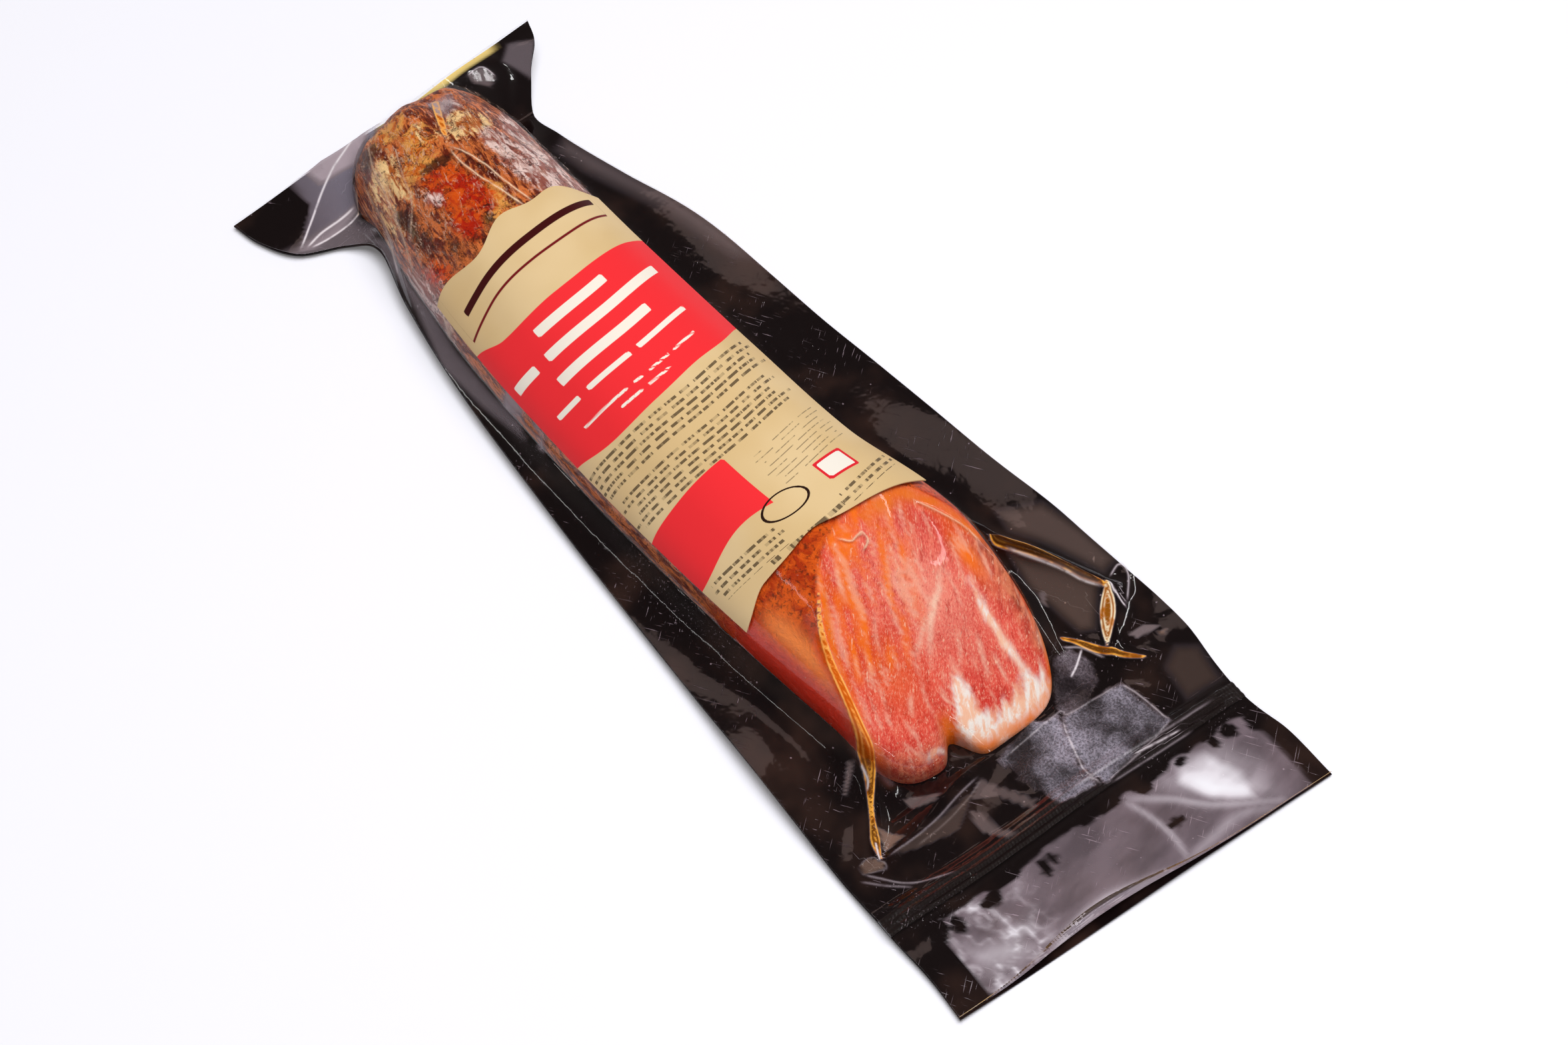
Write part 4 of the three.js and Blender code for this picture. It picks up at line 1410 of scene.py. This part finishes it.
# Finishes.
def clear_film_material():
    """Gloss over what is under it: a clear mix by Fresnel, more mirror where the film lies loose or
    dry, with oily folds, dry frost, haze and dust as thin bodies of colour, and painted reflections and
    highlights."""
    made, tree = new_material("clear_film")
    frost, veil, rim, depth, golden = masks_of(tree, "frost veil wet_rim fold_depth fold_gold")
    dull, warm, wrinkled, facet, gold = masks_of(tree, "dull warm wrinkled facet gold_edge")
    sheen, loose, on_meat = masks_of(tree, "sheen loose on_meat")
    glint_side, glint_full = masks_of(tree, "glint_side glint_full")
    more_side, more_full = masks_of(tree, "more_side more_full")
    scuff, dust = scuffs(tree)
    here = place_of(tree)
    sparkle = noise(here, 0.8, 3.0, 0.7)
    patchy = noise(here, 3.2, 3.0, 0.6)
    slow = noise(here, 6.0, 2.0)
    large = stretch(noise(here, 14, 2.0, 0.5), 0.32, 0.68)
    normal = bumped(scuff * 0.25 + slow * 0.4 + sparkle * frost * 0.9, 0.35, 0.8)
    outer = 1 - field(tree, "NewGeometry", "Backfacing")

    # Painted highlights: lines beside and along the oily folds, and glints on the creases.
    broken = stretch(slow, 0.36, 0.56, 0.5, 1.0)
    tube = stretch(depth, -0.15, 0.3)
    lines = larger(hill(depth, 0.15, 0.32) * broken, hill(depth, 1.25, 0.3) * golden * broken)
    oil = larger(tube, rim * 0.7)
    glint = larger(hill(glint_side, 0.0, 0.38) * glint_full, hill(more_side, 0.0, 0.38) * more_full)
    glint = glint * stretch(patchy, 0.3, 0.5, 0.6, 1.0)

    # The clear film and its mirror.
    fresnel = field(tree, "Fresnel", 0, {"IOR": 1.5, "Normal": normal})
    share = smaller(fresnel * (veil + loose * 1.1 + 0.9) * outer, loose * 0.06 + 0.035)
    mirror = shader_of(tree, (1, 1, 1, 1), veil * 0.16 + frost * 0.22 + 0.075, normal, metallic=1.0)
    tint = mixed(oil * 0.85, (255, 255, 255), (246, 150, 50))
    clear = field(tree, "BsdfTransparent", 0, {"Color": tint})
    gloss = field(tree, "MixShader", 0, {0: share * (1 - tube * 0.7), 1: clear, 2: mirror})

    # The colours of what dulls it: oil, frost and haze, and painted reflections and highlights.
    amber = mixed(golden, (84, 50, 22), (186, 108, 22))
    amber = mixed(on_meat, amber, (246, 122, 14))
    # The colour of the painted highlights along the folds.
    bright = mixed(stretch(golden, 0.6, 1.0), (252, 178, 70), (255, 238, 200))
    bright = mixed(stretch(slow, 0.4, 0.55), (214, 120, 26), bright)
    bright = mixed(on_meat, bright, (255, 184, 96))
    # The film's own haze, oil and frost, then painted reflections on the facet and the patches, then painted
    # highlights along the folds, on the creases and on the flap.
    body_colour = coated(
        mixed(on_meat, (190, 168, 180), (224, 182, 158)),
        (stretch(oil, 0.1, 0.5), amber),
        (frost, mixed(large, (112, 104, 112), (176, 168, 184))),
        (facet, (172, 164, 182)),
        (stretch(dull, 0.0, 0.1), mixed(warm, (176, 160, 168), (162, 130, 116))),
        (lines, bright),
        (glint, mixed(on_meat, (240, 232, 236), (250, 214, 176))),
        (gold, (255, 226, 170)),
        (sheen, (250, 248, 255)),
    )

    # How much of it there is. On the loose flap the veil's drifting haze is partly a painted reflection; the
    # sheen, the fold lines, the glints and the wrinkle glints are painted highlights.
    drift = noise(place_of(tree, (1, 2.5, 1), 0.3), 9, 3.0, 0.55)
    ridges = veined(noise(here, 7, 3.0, 0.6, 0.6), 0.004, 0.016)
    rime = (stretch(sparkle, 0.36, 0.66) * 0.75 + 0.4) * (large * 0.68 + 0.14) + ridges * 0.22
    # Painted glints on the fine folds of the film at the tied end.
    wrinkle_glints = veined(noise(place_of(tree, (3.5, 1, 1), -0.25), 5.0, 4.0, 0.65, 0.5), 0.003, 0.02)
    wrinkle_glints = wrinkle_glints * stretch(patchy, 0.42, 0.56) * wrinkled
    haze = veil * stretch(drift, 0.3, 0.7, 0.18, 0.34) + dust * 0.35 + frost * rime
    haze = haze + oil * (golden * 0.56 + 0.14) + facet * 0.5 + dull + wrinkle_glints * 0.5
    haze = haze + sheen * veil * 0.95 + larger(lines, gold, glint) * 0.85
    body = shader_of(tree, body_colour, 0.3, normal, 0.25)
    mix = {0: smaller(haze, 0.95) * outer, 1: gloss, 2: body}
    return finished(made, field(tree, "MixShader", 0, mix))


def black_back_material():
    """Black film with brown oily patches, rough where the clear film lies on it."""
    made, tree = new_material("black_film")
    bare, amber, seal = masks_of(tree, "bare amber gold_seal")
    brown = stretch(noise(place_of(tree), 34, 3.0), 0.46, 0.7)
    base = coated(
        mixed(brown, (15, 7, 8), (48, 31, 26)),
        (amber * 0.6, (120, 60, 18)),
        (seal, (255, 224, 138)),
    )
    height, _ = scuffs(tree)
    under = field(tree, "NewGeometry", "Backfacing")
    rough = 0.5 - larger(bare, under) * 0.28
    return finished(made, shader_of(tree, base, rough, bumped(height, 0.03), 0.1))


def meat_material():
    """The casing in rust, ochre and grey mould with a painted highlight band along its left side, and the
    cut in lean, streaks, stains and fat, with a painted sheen on its middle and painted shade at its right
    edge.
    """
    made, tree = new_material("cured_meat")
    cut, streak, fat, stain, rim, shade, pale = masks_of(tree, "cut streak fat stain rim shade pale")
    rust, orange, ochre, mould, dark = masks_of(tree, "rust orange ochre mould dark")
    low_side, fresh, sheen = masks_of(tree, "low_side fresh sheen")
    here = place_of(tree)
    wide = noise(here, 16, 4.0, 0.6)
    middle = noise(here, 5.0, 5.0, 0.66, 0.8)
    small = noise(here, 1.5, 4.0, 0.65)
    lengthwise = noise(place_of(tree, (3.6, 1, 1), -0.15), 2.4, 4.0, 0.65, 0.5)
    marbling = noise(place_of(tree, (2.4, 1, 1), -0.1), 4.0, 5.0, 0.62, 0.5)

    def spread(mask, pattern, amount):
        """A soft mask given an edge broken up by a pattern and by small specks."""
        return stretch((small * 0.6 + pattern * 0.7 - 0.65) * amount + mask, 0.28, 0.62)

    def mottled(pattern, low, high, dark_one, pale_one):
        """One colour passing into another as a pattern goes from low to high."""
        return mixed(stretch(pattern, low, high), dark_one, pale_one)

    veins = veined(noise(here, 7, 4.0, 0.6, 1.4), 0.004, 0.024, 0.8) * stretch(wide, 0.4, 0.52)
    side = mottled(middle, 0.38, 0.64, (232, 96, 24), (178, 50, 10))
    skin = coated(
        mottled(lengthwise, 0.42, 0.58, (108, 36, 18), (222, 120, 60)),
        (spread(orange, middle, 1.6), mottled(middle, 0.42, 0.58, (212, 104, 26), (240, 166, 82))),
        (spread(rust, middle, 1.2), mottled(middle, 0.44, 0.6, (184, 34, 8), (224, 88, 20))),
        (spread(ochre, lengthwise, 1.5), mottled(lengthwise, 0.42, 0.58, (188, 100, 42), (255, 214, 152))),
        (
            spread(mould, lengthwise, 1.2) * 0.9,
            mottled(marbling, 0.42, 0.58, (150, 82, 70), (252, 224, 216)),
        ),
        (spread(dark, lengthwise, 1.4) * 0.85, (46, 14, 8)),
        (stretch(noise(here, 2.6, 5.0, 0.7), 0.57, 0.65) * 0.75, (44, 20, 14)),
        (veins, (58, 24, 16)),
        (fresh, mixed(stretch(small, 0.5, 0.66) * 0.8, side, (96, 36, 14))),
        # Painted highlight band along the left side.
        (sheen * 0.95, (255, 142, 70)),
        (low_side, (222, 44, 10)),
    )

    grain = noise(place_of(tree, (3, 1, 1), -0.5), 0.55, 3.0, 0.7)
    thin = noise(place_of(tree, (11, 1, 1), -0.52), 1.0, 3.0, 0.6, 0.2)
    broad = noise(place_of(tree, (6, 1, 1), -0.42), 2.6, 4.0, 0.65, 0.4)
    lean = coated(
        mottled(wide, 0.36, 0.6, (218, 56, 46), (236, 88, 72)),
        # Painted sheen on the middle of the cut.
        (pale * 0.75, (252, 152, 132)),
        (stretch(broad, 0.46, 0.34) * 0.6, (192, 38, 30)),
        (stretch(broad, 0.54, 0.7) * 0.35, (248, 142, 112)),
        (stretch(grain, 0.5, 0.66) * 0.6, (252, 172, 146)),
        (stretch(grain, 0.46, 0.32) * 0.6, (186, 38, 30)),
        # Painted shade along the right edge and under the left tip.
        (shade * 0.9, mottled(broad, 0.4, 0.6, (152, 66, 46), (222, 134, 96))),
        (stain * 0.95, (252, 118, 22)),
        (stretch(thin, 0.6, 0.72) * 0.7, (254, 196, 166)),
        (streak * 0.9, (255, 214, 188)),
        (fat * 0.97, mottled(broad, 0.4, 0.6, (255, 246, 238), (255, 200, 168))),
        (rim * 0.9, (238, 116, 20)),
    )
    height = (middle + small * 0.35) * (1 - cut * 0.85) + grain * cut * 0.2
    return finished(made, shader_of(tree, mixed(cut, skin, lean), 0.5, bumped(height, 1.0), 0.3))


# What a block of small bars takes: its four edges, the rows' pitch and the bars' share of it, the
# bars' length and how ragged the rows' ends are, all in millimetres but the share.
BLOCK = ("Left", "Right", "Top", "Foot", "Pitch", "Height", "Length", "Ragged")
DARK_BLOCKS = (
    (-54, 34, -39.0, -26.6, 2.65, 0.42, 6.5, 6.0),
    (-50, 30, -23.4, -8.9, 2.45, 0.42, 6, 9.0),
    (-46, -14, 21.0, 29.0, 2.6, 0.42, 5, 3.0),
    (4, 36, 27.0, 32.5, 2.6, 0.42, 6, 3.0),
    (-24, 6, 29.4, 31.6, 3.6, 0.5, 8, 0.0),
)
FAINT_BLOCK = (-4, 32, -3.0, 13.5, 2.1, 0.18, 14, 3.0)


def chance_of(number):
    """A random share for each whole number."""
    return field(number.tree, "TexWhiteNoise", "Value", {"W": number}, noise_dimensions="1D")


def bars_group():
    """Rows of small bars of uneven length and strength, with ragged ends. A row's number is the whole
    part of the distance down over the pitch, and a bar's that of the distance along over the length.
    Each draws its own chance."""
    tree, taken, given = new_group("print_bars", ("Along", "Down", *BLOCK), ("Mask",))
    left, right, top, foot, pitch, height, length, ragged = (taken[name] for name in BLOCK)
    along_mm, down_mm = taken["Along"], taken["Down"]
    rows = (down_mm - top) / pitch
    row = rows.calc("FLOOR")
    chance = chance_of(row)
    bars = (along_mm - left) / length + chance * 7.3
    size = chance_of(bars.calc("FLOOR") + row * 31.7)
    ink = chance_of((along_mm / 0.8).calc("FLOOR") + row * 91.3)
    ends = ragged * chance
    mask = (rows.calc("FRACT") < height) * stretch(ink, 0.1, 0.5, 0.3, 1.0)
    mask = mask * (bars.calc("FRACT") < size * 0.3 + 0.62)
    mask = mask * (along_mm > left + ends) * (along_mm < right - ends) * (down_mm > top) * (down_mm < foot)
    tree.links.new(mask.socket, given["Mask"])
    return tree


BARS = bars_group()


def small_bars(along_mm, down_mm, block):
    """The bars of one block, at the print's coordinates in millimetres."""
    inputs = {"Along": along_mm, "Down": down_mm} | dict(zip(BLOCK, block))
    return field(along_mm.tree, "Group", "Mask", inputs, node_tree=BARS)


def label_material():
    """Gold paper with a soft sheen, red fields, white, dark and small plain bars, an oval ring and a
    small white panel with a red border."""
    made, tree = new_material("label_print")
    dark_bar, stroke, red = masks_of(tree, "dark_bar stroke red")
    white_bars, oval, panel = masks_of(tree, "white_bars oval panel")
    split = node(tree, "SeparateXYZ", {0: field(tree, "UVMap", "UV", uv_map="print")})
    along_mm, down_mm = (Field(tree, split.outputs[k]) * (1 / MM) for k in (0, 1))
    dark_blocks = [small_bars(along_mm, down_mm, block) for block in DARK_BLOCKS]
    here = place_of(tree)
    ink = (44, 26, 20)
    base = coated(
        mixed(stretch(noise(here, 40, 2.0), 0.35, 0.65), (220, 188, 136), (229, 200, 152)),
        (noise(here, 0.5, 2.0) * 0.06, (250, 226, 180)),
        (larger(*dark_blocks) * 0.8, ink),
        (small_bars(along_mm, down_mm, FAINT_BLOCK) * 0.55, ink),
        (stretch(dark_bar, -0.1, 0.15), (66, 20, 20)),
        (stretch(abs(stroke), 0.35, 0.7, 1.0, 0.0), (118, 24, 30)),
        (stretch(red, -0.12, 0.12), (248, 52, 58)),
        (stretch(white_bars, -0.12, 0.15), (250, 240, 226)),
        (stretch(abs(oval), 0.2, 0.34, 1.0, 0.0), ink),
        (stretch(panel, -0.1, 0.1), (226, 40, 52)),
        (stretch(panel, 0.9, 1.1), (246, 238, 226)),
    )
    height, _ = scuffs(tree, 0.4, 0.5)
    return finished(made, shader_of(tree, base, 0.5, bumped(height, 0.02), 0.06))


def zip_material():
    """Dark plastic, finely mottled."""
    made, tree = new_material("zip_plastic")
    fine = noise(place_of(tree), 0.6, 2.0)
    base = mixed(fine, (16, 10, 10), (34, 24, 23))
    return finished(made, shader_of(tree, base, 0.35, bumped(fine, 0.05)))


def dress(piece, material, replaced):
    """A piece given its material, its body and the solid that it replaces."""
    piece.data.materials.append(material)
    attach(piece, "root")
    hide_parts(replaced)


dress(make_black_back(), black_back_material(), "back_film")
dress(make_loin(), meat_material(), "loin_in_clear_film")
dress(make_clear_film(), clear_film_material(), "loin_in_clear_film")
dress(make_label(), label_material(), "label")
dress(make_zip(), zip_material(), "zip_strip")


# The floor, the lights and the camera.
FLOOR_REACH = 6.0
LENS = 85
CAMERA_BACK = Vector((0.394, -0.3078, 0.866)).normalized()
CAMERA_DISTANCE = 1.288
CAMERA_TARGET = Vector((0.017402, -0.000922, 0))


def make_floor():
    """A wide pale floor that glows a little, so that it comes out nearly white."""
    mesh = bpy.data.meshes.new("floor")
    r = FLOOR_REACH
    mesh.from_pydata([(-r, -r, 0), (r, -r, 0), (r, r, 0), (-r, r, 0)], [], [(0, 1, 2, 3)])
    floor = bpy.data.objects.new("floor", mesh)
    bpy.context.scene.collection.objects.link(floor)
    material, tree = new_material("pale_floor")
    inputs = {"Base Color": (0.88, 0.88, 0.95, 1), "Roughness": 0.6}
    inputs |= {"Emission Color": (1, 0.99, 1, 1), "Emission Strength": 0.14}
    mesh.materials.append(finished(material, field(tree, "BsdfPrincipled", 0, inputs)))


def soft_light(name, place, size, radiance, aim=(0, 0, 0), tint=(1, 1, 1), lights=True, mirrored=True):
    """A softbox of a brightness, which may light things, be mirrored in them, or both."""
    lamp = bpy.data.lights.new(name, "AREA")
    lamp.shape = "RECTANGLE"
    lamp.size, lamp.size_y = size
    lamp.energy = radiance * np.pi * size[0] * size[1]
    lamp.color = tint
    made = bpy.data.objects.new(name, lamp)
    made.location = place
    way = Vector(aim) - Vector(place)
    made.rotation_euler = way.to_track_quat("-Z", "Y").to_euler()
    made.visible_diffuse = lights
    made.visible_glossy = mirrored
    bpy.context.scene.collection.objects.link(made)


def make_lights():
    """A room that is pale near the floor and dim overhead, one wide key light, and softboxes."""
    world = bpy.data.worlds.new("room")
    bpy.context.scene.world = world
    world.use_nodes = True
    tree = world.node_tree
    way = field(tree, "TexCoord", "Generated")
    up = field(tree, "SeparateXYZ", "Z", {0: way})
    strength = stretch(up, 0.2, 0.7, 0.11, 0.05)
    background = tree.nodes["Background"]
    background.inputs["Color"].default_value = (1, 0.84, 0.79, 1)
    tree.links.new(strength.socket, background.inputs["Strength"])
    soft_light("key", (0.25, 0.18, 2.0), (1.5, 1.5), 6.6, mirrored=False)
    mirrored = (
        ("over_beyond", (-0.66, 0.50, 1.45), (0.5, 0.4), 0.5, (1, 0.72, 0.66)),
        ("strip_right", (0.15, 1.3, 0.9), (0.9, 0.07), 8, (1, 1, 1)),
        ("strip_left", (-0.55, -1.1, 1.1), (0.9, 0.06), 3.5, (1, 1, 1)),
        ("strip_near", (1.35, -0.2, 0.8), (0.06, 0.8), 10, (1, 1, 1)),
    )
    for name, place, size, radiance, tint in mirrored:
        soft_light(name, place, size, radiance, tint=tint, lights=False)


def make_camera():
    """The camera stands back from its target. Its right is the cross product of up and the way back,
    and its up that of the way back and right."""
    camera = bpy.data.cameras.new("camera")
    camera.lens = LENS
    made = bpy.data.objects.new("camera", camera)
    right = Vector((0, 0, 1)).cross(CAMERA_BACK).normalized()
    up = CAMERA_BACK.cross(right)
    turn = Matrix((right, up, CAMERA_BACK)).transposed().to_4x4()
    made.matrix_world = Matrix.Translation(CAMERA_TARGET + CAMERA_BACK * CAMERA_DISTANCE) @ turn
    bpy.context.scene.collection.objects.link(made)
    bpy.context.scene.camera = made


make_floor()
make_lights()
make_camera()
bpy.context.scene.view_settings.view_transform = "Standard"
